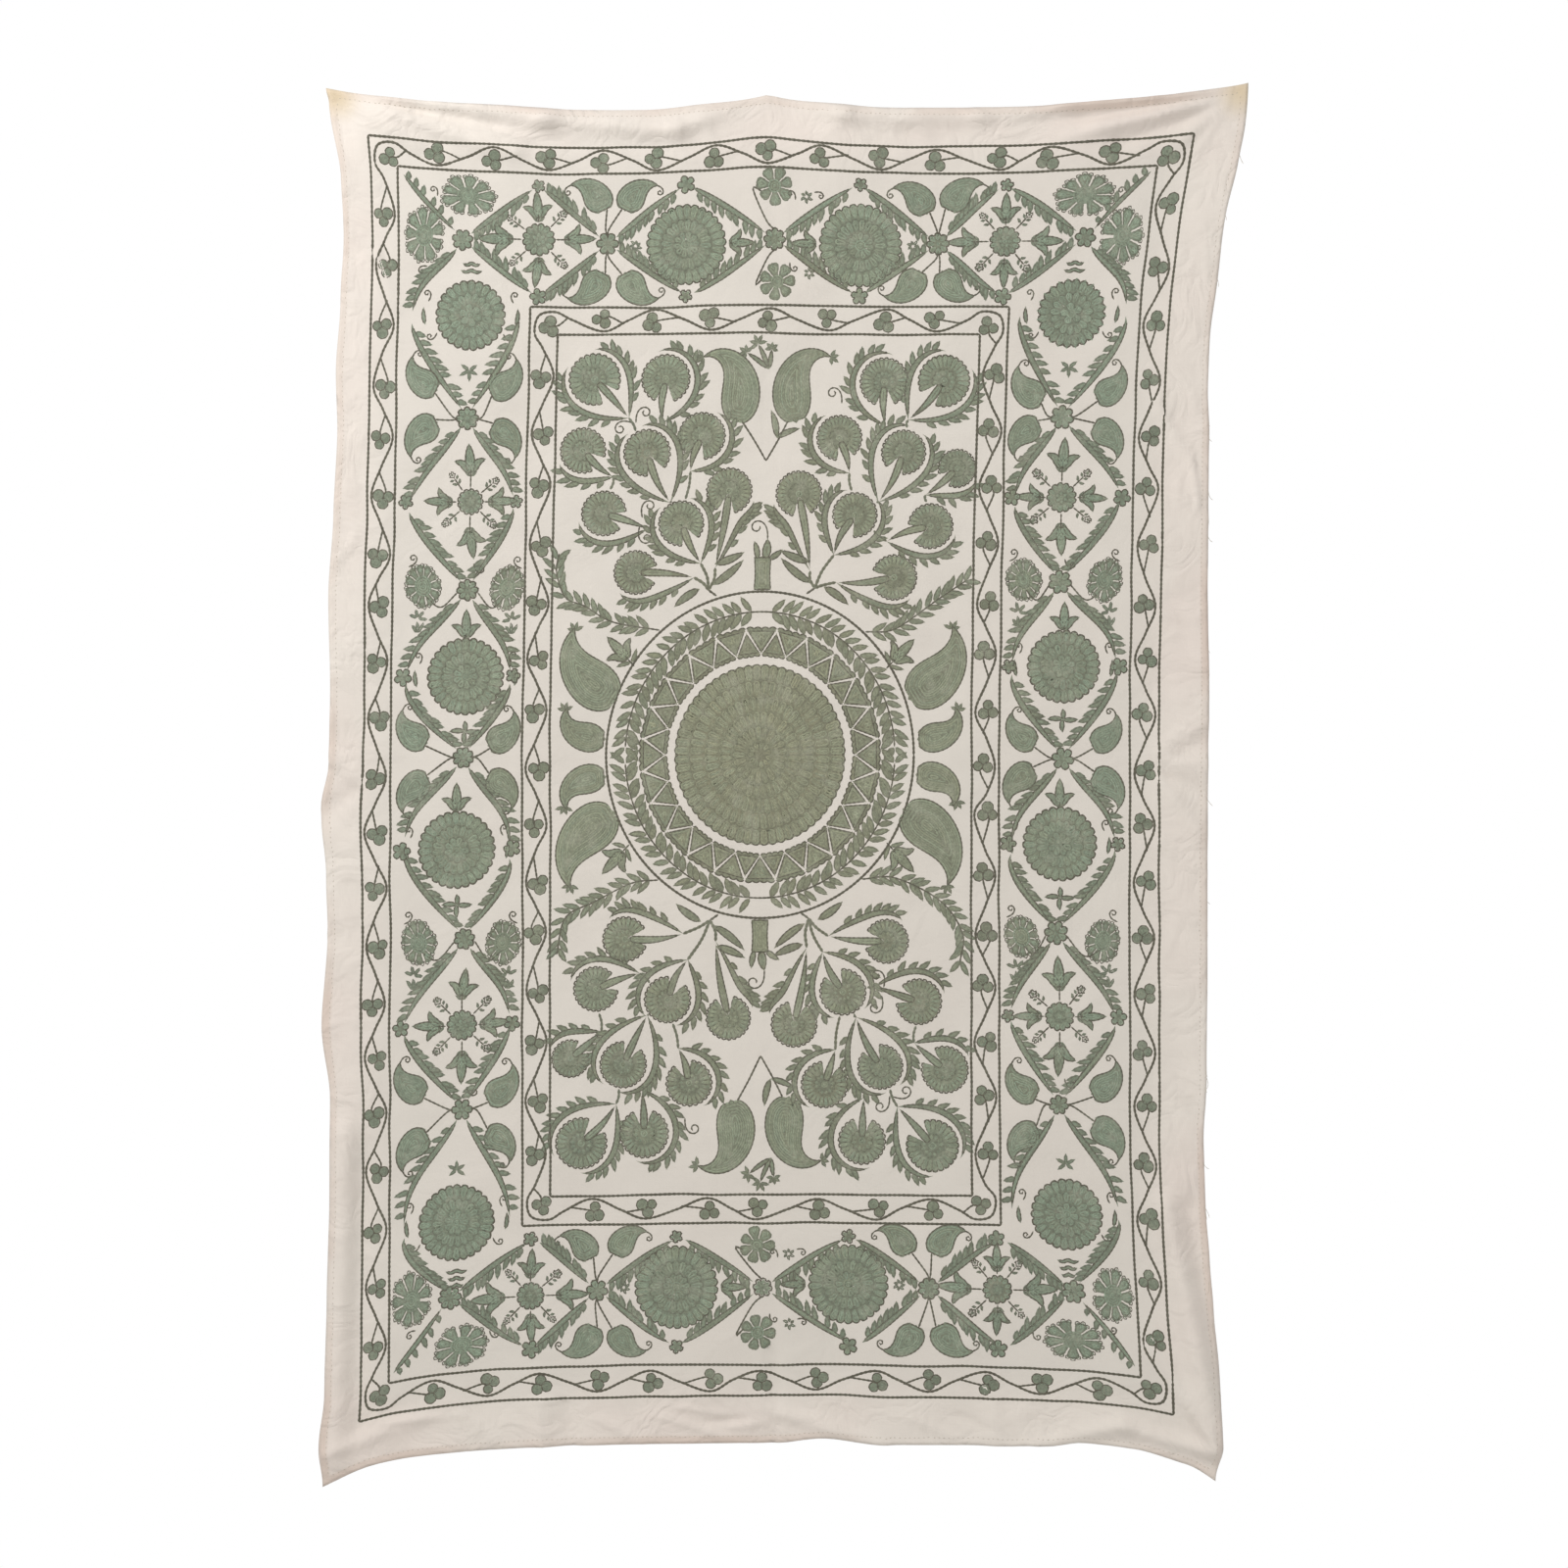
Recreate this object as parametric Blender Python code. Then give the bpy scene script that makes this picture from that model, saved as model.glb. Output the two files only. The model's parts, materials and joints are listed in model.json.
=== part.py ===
"""Suzani wall hanging: one embroidered cotton cloth, hung from three pins along its top edge.

The cloth is modelled as it hangs against a wall, facing -Y, with +X to the viewer's right and +Z up.
The origin is the middle pin. Every point starts in the flat cloth's own coordinates (across, down), is moved
within the wall's plane by the pins, the free corners and the wavy edges, and then comes forward with the folds.
Lengths are in millimetres until the mesh is made.
"""
from collections import namedtuple

import bpy
import numpy as np

MM = 0.001

# Driving dimensions of the finished cloth, drawn in by its stitching.
CLOTH_LEFT = -696.0
CLOTH_RIGHT = 697.0
CLOTH_LENGTH = 2108.0

# The middle pin's place on the cloth, and how far the rest of the top edge would sag below it.
MIDDLE_PIN_ACROSS = -15.0
SAG_AT_TOP = 26.0

# The stitched frame's distance in from each edge of the cloth.
FRAME_FROM_LEFT = 56.0
FRAME_FROM_RIGHT = 84.0
FRAME_FROM_TOP = 62.0
FRAME_FROM_BOTTOM = 76.0

# Thickness, counted from the ground cloth's front face.
GROUND_THICKNESS = 1.2
HEM_THICKNESS = 2.4
STITCHES_IN_FRONT = 1.0
STITCHES_BEHIND = 0.4
HEM_WIDTH = 12.0
HEM_STEP = 3.0

# Spacing of the mesh's lines: fine along the edges, where the folds are, and coarser in the stitched middle.
EDGE_STEP = 13.0
STEP_GROWTH = 1.28
MIDDLE_STEP = 44.0
PIN_FLAT_HALF_WIDTH = 18.0

# Around a pin the cloth lies flat on the wall.
PIN_FLAT_RADIUS = 30.0
PIN_FREE_RADIUS = 130.0

# The top of the cloth leans to the right.
LEAN = 15.0
LEAN_STARTS_DOWN = 1023.0
LEAN_SPAN = 775.0
LEAN_POWER = 1.3

# A wavy edge moves the cloth for about this distance in from it.
EDGE_WAVE_REACH = 54.0

# The cloth stands a little off the wall between the pins, in long shallow waves.
STAND_OFF = 9.0
WAVE_HEIGHT = 2.6
WAVE_LENGTH_ACROSS = 390.0
WAVE_LENGTH_DOWN = 760.0

# Where the cloth is pulled: at the three pins and at the two free corners, whose margins hang lower.
# right and up say how far a pull takes the cloth. The reaches say how far in it is felt, and the power how
# evenly: a high one carries the corner of the stitched frame along with the corner of the cloth.
Pull = namedtuple("Pull", "across down right up reach_across reach_down power")
PULLS = (
    Pull(CLOTH_LEFT, 0, -14, 36, 155, 280, 1.0),
    Pull(MIDDLE_PIN_ACROSS, 0, 0, 25, 93, 200, 1.0),
    Pull(CLOTH_RIGHT, 0, 0, 43, 170, 170, 1.0),
    Pull(CLOTH_RIGHT, 0, 53, 0, 260, 200, 1.6),
    Pull(CLOTH_LEFT, CLOTH_LENGTH, -9, -68, 130, 540, 1.0),
    Pull(CLOTH_RIGHT, CLOTH_LENGTH, 0, -59, 140, 300, 1.0),
    Pull(CLOTH_RIGHT, CLOTH_LENGTH, 30, 0, 260, 300, 1.6),
)
PINS = ((CLOTH_LEFT, 0.0), (MIDDLE_PIN_ACROSS, 0.0), (CLOTH_RIGHT, 0.0))

# Waves of the four edges: how far in each edge lies at a distance along it. A negative value stands out.
Wave = namedtuple("Wave", "along inward")
LEFT_EDGE = (
    Wave(0, -4), Wave(20, 0), Wave(130, 16), Wave(200, 18), Wave(315, 12), Wave(415, 6), Wave(515, 10),
    Wave(640, 6), Wave(760, 0), Wave(910, 5), Wave(1020, 4), Wave(1095, -9), Wave(1200, 0), Wave(1285, 3),
    Wave(1430, -6), Wave(1540, 8), Wave(1685, 8), Wave(1835, 5), Wave(1980, 3), Wave(2050, -5), Wave(2108, 2),
)
RIGHT_EDGE = (
    Wave(0, 4), Wave(55, 3), Wave(105, 5), Wave(190, 11), Wave(275, 10), Wave(367, 14), Wave(435, 13),
    Wave(520, 8), Wave(725, 5), Wave(930, 0), Wave(1090, 1), Wave(1220, 2), Wave(1375, 2), Wave(1515, 4),
    Wave(1620, 11), Wave(1720, 11), Wave(1800, 9), Wave(1870, 7), Wave(1955, 4), Wave(2060, 6),
    Wave(2108, 19),
)
TOP_EDGE = (
    Wave(-696, -2), Wave(-440, -1), Wave(-330, 4), Wave(-205, 4), Wave(-105, -1), Wave(-15, 0), Wave(75, -1),
    Wave(165, 2), Wave(285, 1), Wave(400, 2), Wave(535, -1), Wave(640, -4), Wave(697, -2),
)
BOTTOM_EDGE = (
    Wave(-696, 0), Wave(-625, 4), Wave(-450, 0), Wave(10, 2), Wave(88, 10), Wave(185, 0), Wave(370, 2),
    Wave(430, 6), Wave(484, 15), Wave(560, 14), Wave(640, 7), Wave(697, 0),
)

# Folds of the hanging cloth. Each runs straight from one place on the wall to another, measured right of and
# below the middle pin, and stands out by height. A negative height is a trough. The half width grows from one
# end to the other.
Fold = namedtuple("Fold", "right below to_right to_below height half_width to_half_width")
CORNER_FOLDS = (
    Fold(-668, 10, -405, 92, 11, 9, 20),
    Fold(-668, 6, -480, 36, -6, 7, 14),
    Fold(-668, 4, -340, 32, 8, 8, 18),
    Fold(-666, 16, -555, 84, 6, 7, 14),
    Fold(743, 2, 520, 56, 10, 9, 18),
    Fold(743, 0, 500, 34, -5, 7, 14),
    Fold(742, 6, 655, 70, 6, 7, 14),
    Fold(740, -6, 460, 22, 7, 8, 16),
)
SWAG_FOLDS = (
    Fold(-525, 24, -355, 45, 8, 14, 16),
    Fold(-355, 45, -145, 57, 10, 16, 16),
    Fold(-145, 57, -10, 8, 9, 16, 9),
    Fold(10, 4, 120, 34, 8, 9, 16),
    Fold(120, 34, 335, 37, 9, 16, 16),
    Fold(335, 37, 615, 4, 7, 16, 12),
)
MARGIN_FOLDS = (
    Fold(-642, 1090, -690, 1045, 7, 9, 13),
    Fold(-645, 1095, -704, 1140, -6, 9, 14),
    Fold(-668, 1640, -684, 2160, 12, 20, 26),
    Fold(-640, 1700, -650, 2120, -6, 16, 20),
    Fold(615, 1045, 690, 990, 6, 8, 11),
    Fold(612, 1052, 694, 1024, -5, 7, 10),
    Fold(612, 1058, 694, 1060, 6, 7, 11),
    Fold(615, 1068, 692, 1108, -7, 8, 13),
    Fold(618, 1078, 680, 1170, 6, 8, 13),
    Fold(630, 1760, 706, 2130, 14, 17, 24),
    Fold(668, 1760, 730, 2080, -7, 14, 16),
)
LOWER_FOLDS = (
    Fold(-352, 2050, -352, 2140, 8, 12, 14),
    Fold(-318, 2062, -310, 2140, -7, 10, 12),
    Fold(4, 1985, 6, 2140, -5, 8, 12),
    Fold(20, 2085, 185, 2136, 7, 10, 13),
    Fold(355, 2058, 358, 2140, 6, 10, 14),
    Fold(425, 2136, 560, 2104, 8, 10, 13),
    Fold(560, 2104, 706, 2150, 9, 13, 11),
    Fold(708, 2140, 610, 1985, 8, 10, 15),
    Fold(-700, 2150, -560, 2095, 6, 10, 16),
)
FOLDS = CORNER_FOLDS + SWAG_FOLDS + MARGIN_FOLDS + LOWER_FOLDS

GROUND_COLOUR = (0.77, 0.70, 0.62, 1.0)
GROUND_ROUGHNESS = 0.92


def smooth_step(value):
    """0 below 0, 1 above 1, and a smooth rise between them."""
    share = np.clip(value, 0.0, 1.0)
    return share * share * (3.0 - 2.0 * share)


def wave_at(waves, along):
    """How far in a wavy edge lies at each distance along it, with a smooth rise from one row to the next."""
    inward = np.full(np.shape(along), float(waves[0].inward))
    for start, end in zip(waves, waves[1:]):
        inward += (end.inward - start.inward) * smooth_step((along - start.along) / (end.along - start.along))
    return inward


def near_edge(distance):
    """How much of an edge's wave reaches a point at this distance in from the edge."""
    return np.exp(-distance / EDGE_WAVE_REACH)


def hang(across, down):
    """Where a point of the flat cloth hangs in the wall's plane: to the right of and below the middle pin."""
    right = across + LEAN * np.clip((LEAN_STARTS_DOWN - down) / LEAN_SPAN, 0.0, 1.0) ** LEAN_POWER
    below = down + SAG_AT_TOP
    for pull in PULLS:
        away = np.hypot((across - pull.across) / pull.reach_across, (down - pull.down) / pull.reach_down)
        felt = np.exp(-(away**pull.power))
        right = right + pull.right * felt
        below = below - pull.up * felt
    right = right + wave_at(LEFT_EDGE, down) * near_edge(across - CLOTH_LEFT)
    right = right - wave_at(RIGHT_EDGE, down) * near_edge(CLOTH_RIGHT - across)
    below = below + wave_at(TOP_EDGE, across) * near_edge(down)
    below = below - wave_at(BOTTOM_EDGE, across) * near_edge(CLOTH_LENGTH - down)
    return right, below


def fold_height(fold, right, below):
    """How far one fold stands out at each point: a bell across its line, fading in and out along it."""
    run_right, run_below = fold.to_right - fold.right, fold.to_below - fold.below
    length = np.hypot(run_right, run_below)
    along = ((right - fold.right) * run_right + (below - fold.below) * run_below) / length**2
    off_line = ((right - fold.right) * run_below - (below - fold.below) * run_right) / length
    half_width = fold.half_width + (fold.to_half_width - fold.half_width) * np.clip(along, 0.0, 1.0)
    past_end = np.maximum(np.maximum(-along, along - 1.0), 0.0) * length
    return fold.height * np.exp(-(np.hypot(off_line, past_end) / half_width) ** 2)


def depth(right, below):
    """How far the cloth's front stands out from the wall at each place on it."""
    pins = [hang(np.array(pin_across), np.array(pin_down)) for pin_across, pin_down in PINS]
    to_pin = np.min([np.hypot(right - x, below - z) for x, z in pins], axis=0)
    waves = np.sin(2 * np.pi * right / WAVE_LENGTH_ACROSS) * np.cos(2 * np.pi * below / WAVE_LENGTH_DOWN)
    standing = STAND_OFF + WAVE_HEIGHT * waves + sum(fold_height(fold, right, below) for fold in FOLDS)
    return standing * smooth_step((to_pin - PIN_FLAT_RADIUS) / (PIN_FREE_RADIUS - PIN_FLAT_RADIUS))


def front_of_ground(across, down):
    """The ground cloth's front face in space, as an array of points."""
    right, below = hang(across, down)
    return np.stack([right, -depth(right, below), -below], axis=-1)


def outward(across, down):
    """The unit normal of the front face, which points towards the viewer."""
    step = 0.5
    run_across = front_of_ground(across + step, down) - front_of_ground(across - step, down)
    run_down = front_of_ground(across, down + step) - front_of_ground(across, down - step)
    normal = np.cross(run_down, run_across)
    return normal / np.linalg.norm(normal, axis=-1, keepdims=True)


def lines_from_edge(reach):
    """Distances in from one edge: the hem's two lines, then steps that grow up to the coarse one."""
    places = [0.0, HEM_WIDTH, HEM_WIDTH + HEM_STEP]
    step = EDGE_STEP
    while places[-1] + step < reach:
        places.append(places[-1] + step)
        step = min(step * STEP_GROWTH, MIDDLE_STEP)
    return places


def mesh_lines(start, end, middle):
    """The mesh's lines from one edge to the other, with the lines of middle between the two halves."""
    stops = list(middle)
    first = [start + place for place in lines_from_edge(stops[0] - start - MIDDLE_STEP / 2)]
    last = [end - place for place in lines_from_edge(end - stops[-1] - MIDDLE_STEP / 2)]
    return np.array(first + stops + last[::-1])


def stitched(across, down):
    """1 inside the stitched frame and 0 in the plain margins."""
    inside = np.minimum(across - CLOTH_LEFT - FRAME_FROM_LEFT, CLOTH_RIGHT - FRAME_FROM_RIGHT - across)
    inside = np.minimum(inside, down - FRAME_FROM_TOP)
    inside = np.minimum(inside, CLOTH_LENGTH - FRAME_FROM_BOTTOM - down)
    return (inside >= 0).astype(float)


def on_hem(across, down):
    """True on the turned hem, which is folded to the back all round."""
    from_edge = np.minimum(across - CLOTH_LEFT, CLOTH_RIGHT - across)
    from_edge = np.minimum(from_edge, np.minimum(down, CLOTH_LENGTH - down))
    return from_edge < HEM_WIDTH + HEM_STEP / 2


def cloth_mesh():
    """One closed sheet: a front and a back grid of points, joined round the four edges."""
    beside_pin = (MIDDLE_PIN_ACROSS - PIN_FLAT_HALF_WIDTH, MIDDLE_PIN_ACROSS + PIN_FLAT_HALF_WIDTH)
    columns = mesh_lines(CLOTH_LEFT, CLOTH_RIGHT, beside_pin)
    rows = mesh_lines(0.0, CLOTH_LENGTH, [CLOTH_LENGTH / 2])
    across, down = np.meshgrid(columns, rows)
    ground = front_of_ground(across, down)
    normal = outward(across, down)
    rise = STITCHES_IN_FRONT * stitched(across, down)
    fall = GROUND_THICKNESS + STITCHES_BEHIND * stitched(across, down)
    fall = np.where(on_hem(across, down), HEM_THICKNESS, fall)
    front = ground + normal * rise[..., None]
    back = ground - normal * fall[..., None]
    points = np.concatenate([front.reshape(-1, 3), back.reshape(-1, 3)]) * MM

    count_down, count_across = across.shape
    number = np.arange(count_down * count_across).reshape(count_down, count_across)
    behind = number + number.size
    squares = [number[:-1, :-1], number[1:, :-1], number[1:, 1:], number[:-1, 1:]]
    front_faces = np.stack([corner.ravel() for corner in squares], axis=1)
    back_faces = front_faces[:, ::-1] + number.size
    rim = np.concatenate([number[0, :-1], number[:-1, -1], number[-1, :0:-1], number[:0:-1, 0]])
    rim_behind = np.concatenate([behind[0, :-1], behind[:-1, -1], behind[-1, :0:-1], behind[:0:-1, 0]])
    side_faces = np.stack([rim, np.roll(rim, -1), np.roll(rim_behind, -1), rim_behind], axis=1)

    mesh = bpy.data.meshes.new("cloth")
    faces = np.concatenate([front_faces, back_faces, side_faces])
    mesh.from_pydata(points.tolist(), [], faces.tolist())
    mesh.update()
    mesh.shade_smooth()
    return mesh


def ground_cotton():
    """Unbleached cotton: matt and warm white."""
    material = bpy.data.materials.new("ground_cotton")
    material.use_nodes = True
    shader = material.node_tree.nodes["Principled BSDF"]
    shader.inputs["Base Color"].default_value = GROUND_COLOUR
    shader.inputs["Roughness"].default_value = GROUND_ROUGHNESS
    shader.inputs["Metallic"].default_value = 0.0
    return material


for leftover in list(bpy.data.objects):
    bpy.data.objects.remove(leftover)
cloth = bpy.data.objects.new("suzani_cloth", cloth_mesh())
cloth.data.materials.append(ground_cotton())
bpy.context.scene.collection.objects.link(cloth)
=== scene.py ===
import json
from collections import namedtuple

import bpy
import numpy as np
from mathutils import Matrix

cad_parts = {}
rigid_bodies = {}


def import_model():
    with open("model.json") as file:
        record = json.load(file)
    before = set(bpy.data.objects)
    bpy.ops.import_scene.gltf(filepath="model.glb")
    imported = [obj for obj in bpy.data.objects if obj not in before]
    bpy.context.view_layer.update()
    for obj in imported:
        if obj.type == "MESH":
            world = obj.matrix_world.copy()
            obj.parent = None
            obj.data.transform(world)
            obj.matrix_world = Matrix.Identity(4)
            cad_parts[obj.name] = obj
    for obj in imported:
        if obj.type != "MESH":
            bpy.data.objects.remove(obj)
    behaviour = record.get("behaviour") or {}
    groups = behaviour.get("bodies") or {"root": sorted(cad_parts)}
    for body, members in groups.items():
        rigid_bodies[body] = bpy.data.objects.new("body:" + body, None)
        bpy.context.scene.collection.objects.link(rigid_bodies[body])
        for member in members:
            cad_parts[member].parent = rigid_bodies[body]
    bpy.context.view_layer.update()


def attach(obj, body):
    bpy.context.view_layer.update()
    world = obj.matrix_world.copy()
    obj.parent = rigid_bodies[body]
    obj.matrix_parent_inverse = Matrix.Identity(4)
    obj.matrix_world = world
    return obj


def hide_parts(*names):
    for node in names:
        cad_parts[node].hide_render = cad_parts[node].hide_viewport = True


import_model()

# The ground cloth
# One length of unbleached cotton in plain weave, hung from pins at both top corners and the middle of the
# top edge. Its edges are turned to the back and hemmed. Places on the flat cloth are complex numbers, across
# + 1j * down, in millimetres from the middle of its top edge, and hang() takes them to where they hang.
MM = 0.001
CLOTH_LEFT = -696.0
CLOTH_RIGHT = 697.0
CLOTH_LENGTH = 2108.0
MIDDLE_PIN_ACROSS = -15.0
SAG_AT_TOP = 26.0
PIN_FLAT_RADIUS = 30.0
PIN_FREE_RADIUS = 130.0
LEAN = 15.0
LEAN_STARTS_DOWN = 1023.0
LEAN_SPAN = 775.0
LEAN_POWER = 1.3
EDGE_WAVE_REACH = 54.0
STAND_OFF = 9.0
WAVE_HEIGHT = 2.6
WAVE_LENGTH_ACROSS = 390.0
WAVE_LENGTH_DOWN = 760.0

# The pulls of the three pins and of the two free corners: how far each takes the cloth, right and up, how far
# in it is felt, and how evenly.
Pull = namedtuple("Pull", "across down right up reach_across reach_down power")
PULLS = (
    Pull(CLOTH_LEFT, 0, -14, 36, 155, 280, 1.0),
    Pull(MIDDLE_PIN_ACROSS, 0, 0, 25, 93, 200, 1.0),
    Pull(CLOTH_RIGHT, 0, 0, 43, 170, 170, 1.0),
    Pull(CLOTH_RIGHT, 0, 53, 0, 260, 200, 1.6),
    Pull(CLOTH_LEFT, CLOTH_LENGTH, -9, -68, 130, 540, 1.0),
    Pull(CLOTH_RIGHT, CLOTH_LENGTH, 0, -59, 140, 300, 1.0),
    Pull(CLOTH_RIGHT, CLOTH_LENGTH, 30, 0, 260, 300, 1.6),
)
PINS = ((CLOTH_LEFT, 0.0), (MIDDLE_PIN_ACROSS, 0.0), (CLOTH_RIGHT, 0.0))

# How far in each edge lies at a distance along it.
Wave = namedtuple("Wave", "along inward")
LEFT_EDGE = (
    Wave(0, -4), Wave(20, 0), Wave(130, 16), Wave(200, 18), Wave(315, 12), Wave(415, 6), Wave(515, 10),
    Wave(640, 6), Wave(760, 0), Wave(910, 5), Wave(1020, 4), Wave(1095, -9), Wave(1200, 0), Wave(1285, 3),
    Wave(1430, -6), Wave(1540, 8), Wave(1685, 8), Wave(1835, 5), Wave(1980, 3), Wave(2050, -5), Wave(2108, 2),
)
RIGHT_EDGE = (
    Wave(0, 4), Wave(55, 3), Wave(105, 5), Wave(190, 11), Wave(275, 10), Wave(367, 14), Wave(435, 13),
    Wave(520, 8), Wave(725, 5), Wave(930, 0), Wave(1090, 1), Wave(1220, 2), Wave(1375, 2), Wave(1515, 4),
    Wave(1620, 11), Wave(1720, 11), Wave(1800, 9), Wave(1870, 7), Wave(1955, 4), Wave(2060, 6),
    Wave(2108, 19),
)
TOP_EDGE = (
    Wave(-696, -2), Wave(-440, -1), Wave(-330, 4), Wave(-205, 4), Wave(-105, -1), Wave(-15, 0), Wave(75, -1),
    Wave(165, 2), Wave(285, 1), Wave(400, 2), Wave(535, -1), Wave(640, -4), Wave(697, -2),
)
BOTTOM_EDGE = (
    Wave(-696, 0), Wave(-625, 4), Wave(-450, 0), Wave(10, 2), Wave(88, 10), Wave(185, 0), Wave(370, 2),
    Wave(430, 6), Wave(484, 15), Wave(560, 14), Wave(640, 7), Wave(697, 0),
)

# Folds, each straight from one place on the wall to another, right of and below the middle pin. A negative
# height is a trough. These are the main ones.
Fold = namedtuple("Fold", "right below to_right to_below height half_width to_half_width")
MAIN_FOLDS = (
    Fold(-668, 10, -405, 92, 11, 9, 20),
    Fold(-668, 6, -480, 36, -6, 7, 14),
    Fold(-668, 4, -340, 32, 8, 8, 18),
    Fold(-666, 16, -555, 84, 6, 7, 14),
    Fold(743, 2, 520, 56, 10, 9, 18),
    Fold(743, 0, 500, 34, -5, 7, 14),
    Fold(742, 6, 655, 70, 6, 7, 14),
    Fold(740, -6, 460, 22, 7, 8, 16),
    Fold(-525, 24, -355, 45, 8, 14, 16),
    Fold(-355, 45, -145, 57, 10, 16, 16),
    Fold(-145, 57, -10, 8, 9, 16, 9),
    Fold(10, 4, 120, 34, 8, 9, 16),
    Fold(120, 34, 335, 37, 9, 16, 16),
    Fold(335, 37, 615, 4, 7, 16, 12),
    Fold(-642, 1090, -690, 1045, 7, 9, 13),
    Fold(-645, 1095, -704, 1140, -6, 9, 14),
    Fold(-668, 1640, -684, 2160, 12, 20, 26),
    Fold(-640, 1700, -650, 2120, -6, 16, 20),
    Fold(615, 1045, 690, 990, 6, 8, 11),
    Fold(612, 1052, 694, 1024, -5, 7, 10),
    Fold(612, 1058, 694, 1060, 6, 7, 11),
    Fold(615, 1068, 692, 1108, -7, 8, 13),
    Fold(618, 1078, 680, 1170, 6, 8, 13),
    Fold(630, 1760, 706, 2130, 14, 17, 24),
    Fold(668, 1760, 730, 2080, -7, 14, 16),
    Fold(-352, 2070, -352, 2140, 8, 12, 14),
    Fold(-318, 2072, -310, 2140, -7, 10, 12),
    Fold(4, 1985, 6, 2140, -5, 8, 12),
    Fold(20, 2085, 185, 2136, 7, 10, 13),
    Fold(355, 2058, 358, 2140, 6, 10, 14),
    Fold(425, 2136, 560, 2104, 8, 10, 13),
    Fold(560, 2104, 706, 2150, 9, 13, 11),
    Fold(708, 2140, 610, 1985, 8, 10, 15),
    Fold(-700, 2150, -560, 2095, 6, 10, 16),
)

# Fine creases that the solid leaves out: down and across the middle from storage, and small ones that fan
# out from the top corners and crumple the plain margins.
FINE_CREASES = (
    Fold(8, 120, 5, 2120, -1.3, 5, 5),
    Fold(2, 1500, -2, 2125, 1.6, 6, 7),
    Fold(-680, 1066, 690, 1070, -1.2, 5, 5),
    Fold(-668, 208, -618, 256, 4.2, 4, 6),
    Fold(-618, 256, -585, 330, 3.0, 5, 7),
    Fold(-680, 538, -640, 541, 3.8, 4, 6),
    Fold(-650, 700, -684, 742, 3.4, 5, 7),
    Fold(-690, 880, -640, 872, 3.2, 5, 6),
    Fold(-696, 1222, -640, 1236, 3.6, 4, 6),
    Fold(-690, 1330, -645, 1318, -3.0, 4, 6),
    Fold(-694, 1480, -650, 1465, 3.4, 5, 7),
    Fold(618, 494, 670, 580, 5.0, 4, 6),
    Fold(670, 580, 681, 650, 4.0, 5, 6),
    Fold(646, 626, 700, 674, 4.6, 4, 6),
    Fold(735, 4, 470, 72, 3.6, 4, 9),
    Fold(735, 6, 560, 78, -3.2, 4, 9),
    Fold(733, 2, 430, 44, -2.8, 4, 9),
    Fold(736, 10, 676, 96, 2.8, 4, 8),
    Fold(-662, 10, -380, 70, 3.4, 4, 9),
    Fold(-662, 8, -430, 50, -2.8, 4, 9),
    Fold(-662, 16, -500, 96, 3.0, 4, 9),
    Fold(625, 700, 694, 742, -3.2, 5, 7),
    Fold(620, 826, 690, 812, 3.2, 5, 7),
    Fold(618, 905, 690, 918, -3.4, 5, 7),
    Fold(616, 950, 692, 958, 3.6, 5, 7),
    Fold(620, 1180, 694, 1236, 3.6, 5, 7),
    Fold(618, 1300, 690, 1330, -3.2, 5, 7),
    Fold(620, 1420, 688, 1405, 3.2, 5, 7),
    Fold(618, 1560, 690, 1600, 3.6, 5, 7),
    Fold(640, 1640, 690, 1700, -3.4, 5, 7),
    Fold(-600, 2100, -520, 2090, 3.8, 5, 7),
    Fold(-480, 2085, -430, 2135, 4.2, 5, 7),
    Fold(-345, 2074, -342, 2136, -4.2, 4, 6),
    Fold(-270, 2095, -200, 2130, 4.0, 5, 7),
    Fold(-170, 2090, -60, 2125, 3.6, 4, 7),
    Fold(-150, 2074, -70, 2086, 3.0, 4, 6),
    Fold(-95, 2100, -40, 2094, -3.4, 4, 6),
    Fold(-58, 2110, -14, 2100, 3.2, 4, 6),
    Fold(225, 2092, 300, 2128, 4.0, 5, 7),
    Fold(300, 2088, 345, 2110, -3.4, 5, 7),
    Fold(395, 2078, 420, 2130, 4.0, 5, 7),
    Fold(-480, 40, -430, 66, 2.6, 5, 8),
    Fold(-250, 40, -190, 72, 2.4, 5, 8),
    Fold(-60, 26, -22, 66, 3.2, 6, 9),
    Fold(-14, 12, -10, 74, -3.2, 6, 9),
    Fold(18, 14, 46, 62, 3.0, 6, 9),
    Fold(200, 40, 262, 62, 2.4, 5, 8),
    Fold(420, 34, 486, 58, 2.6, 5, 8),
)
FOLDS = MAIN_FOLDS + FINE_CREASES

# The stitches draw the ground in a little between the motifs.
Pucker = namedtuple("Pucker", "height length lean start")
PUCKERS = (
    Pucker(0.55, 118, 0.35, 0.4),
    Pucker(0.5, 86, 2.10, 1.9),
    Pucker(0.42, 64, 1.22, 3.3),
    Pucker(0.34, 47, 2.85, 5.1),
    Pucker(0.8, 240, 0.80, 2.2),
)


def smooth_step(value):
    """0 below 0, 1 above 1, and a smooth rise between them."""
    share = np.clip(value, 0.0, 1.0)
    return share * share * (3.0 - 2.0 * share)


def wave_at(waves, along):
    """How far in a wavy edge lies at each distance along it, with a smooth rise from one row to the next."""
    inward = np.full(np.shape(along), float(waves[0].inward))
    for start, end in zip(waves, waves[1:]):
        inward += (end.inward - start.inward) * smooth_step((along - start.along) / (end.along - start.along))
    return inward


def near_edge(distance):
    """How much of an edge's wave reaches a point: it dies away exponentially with the distance in."""
    return np.exp(-distance / EDGE_WAVE_REACH)


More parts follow.
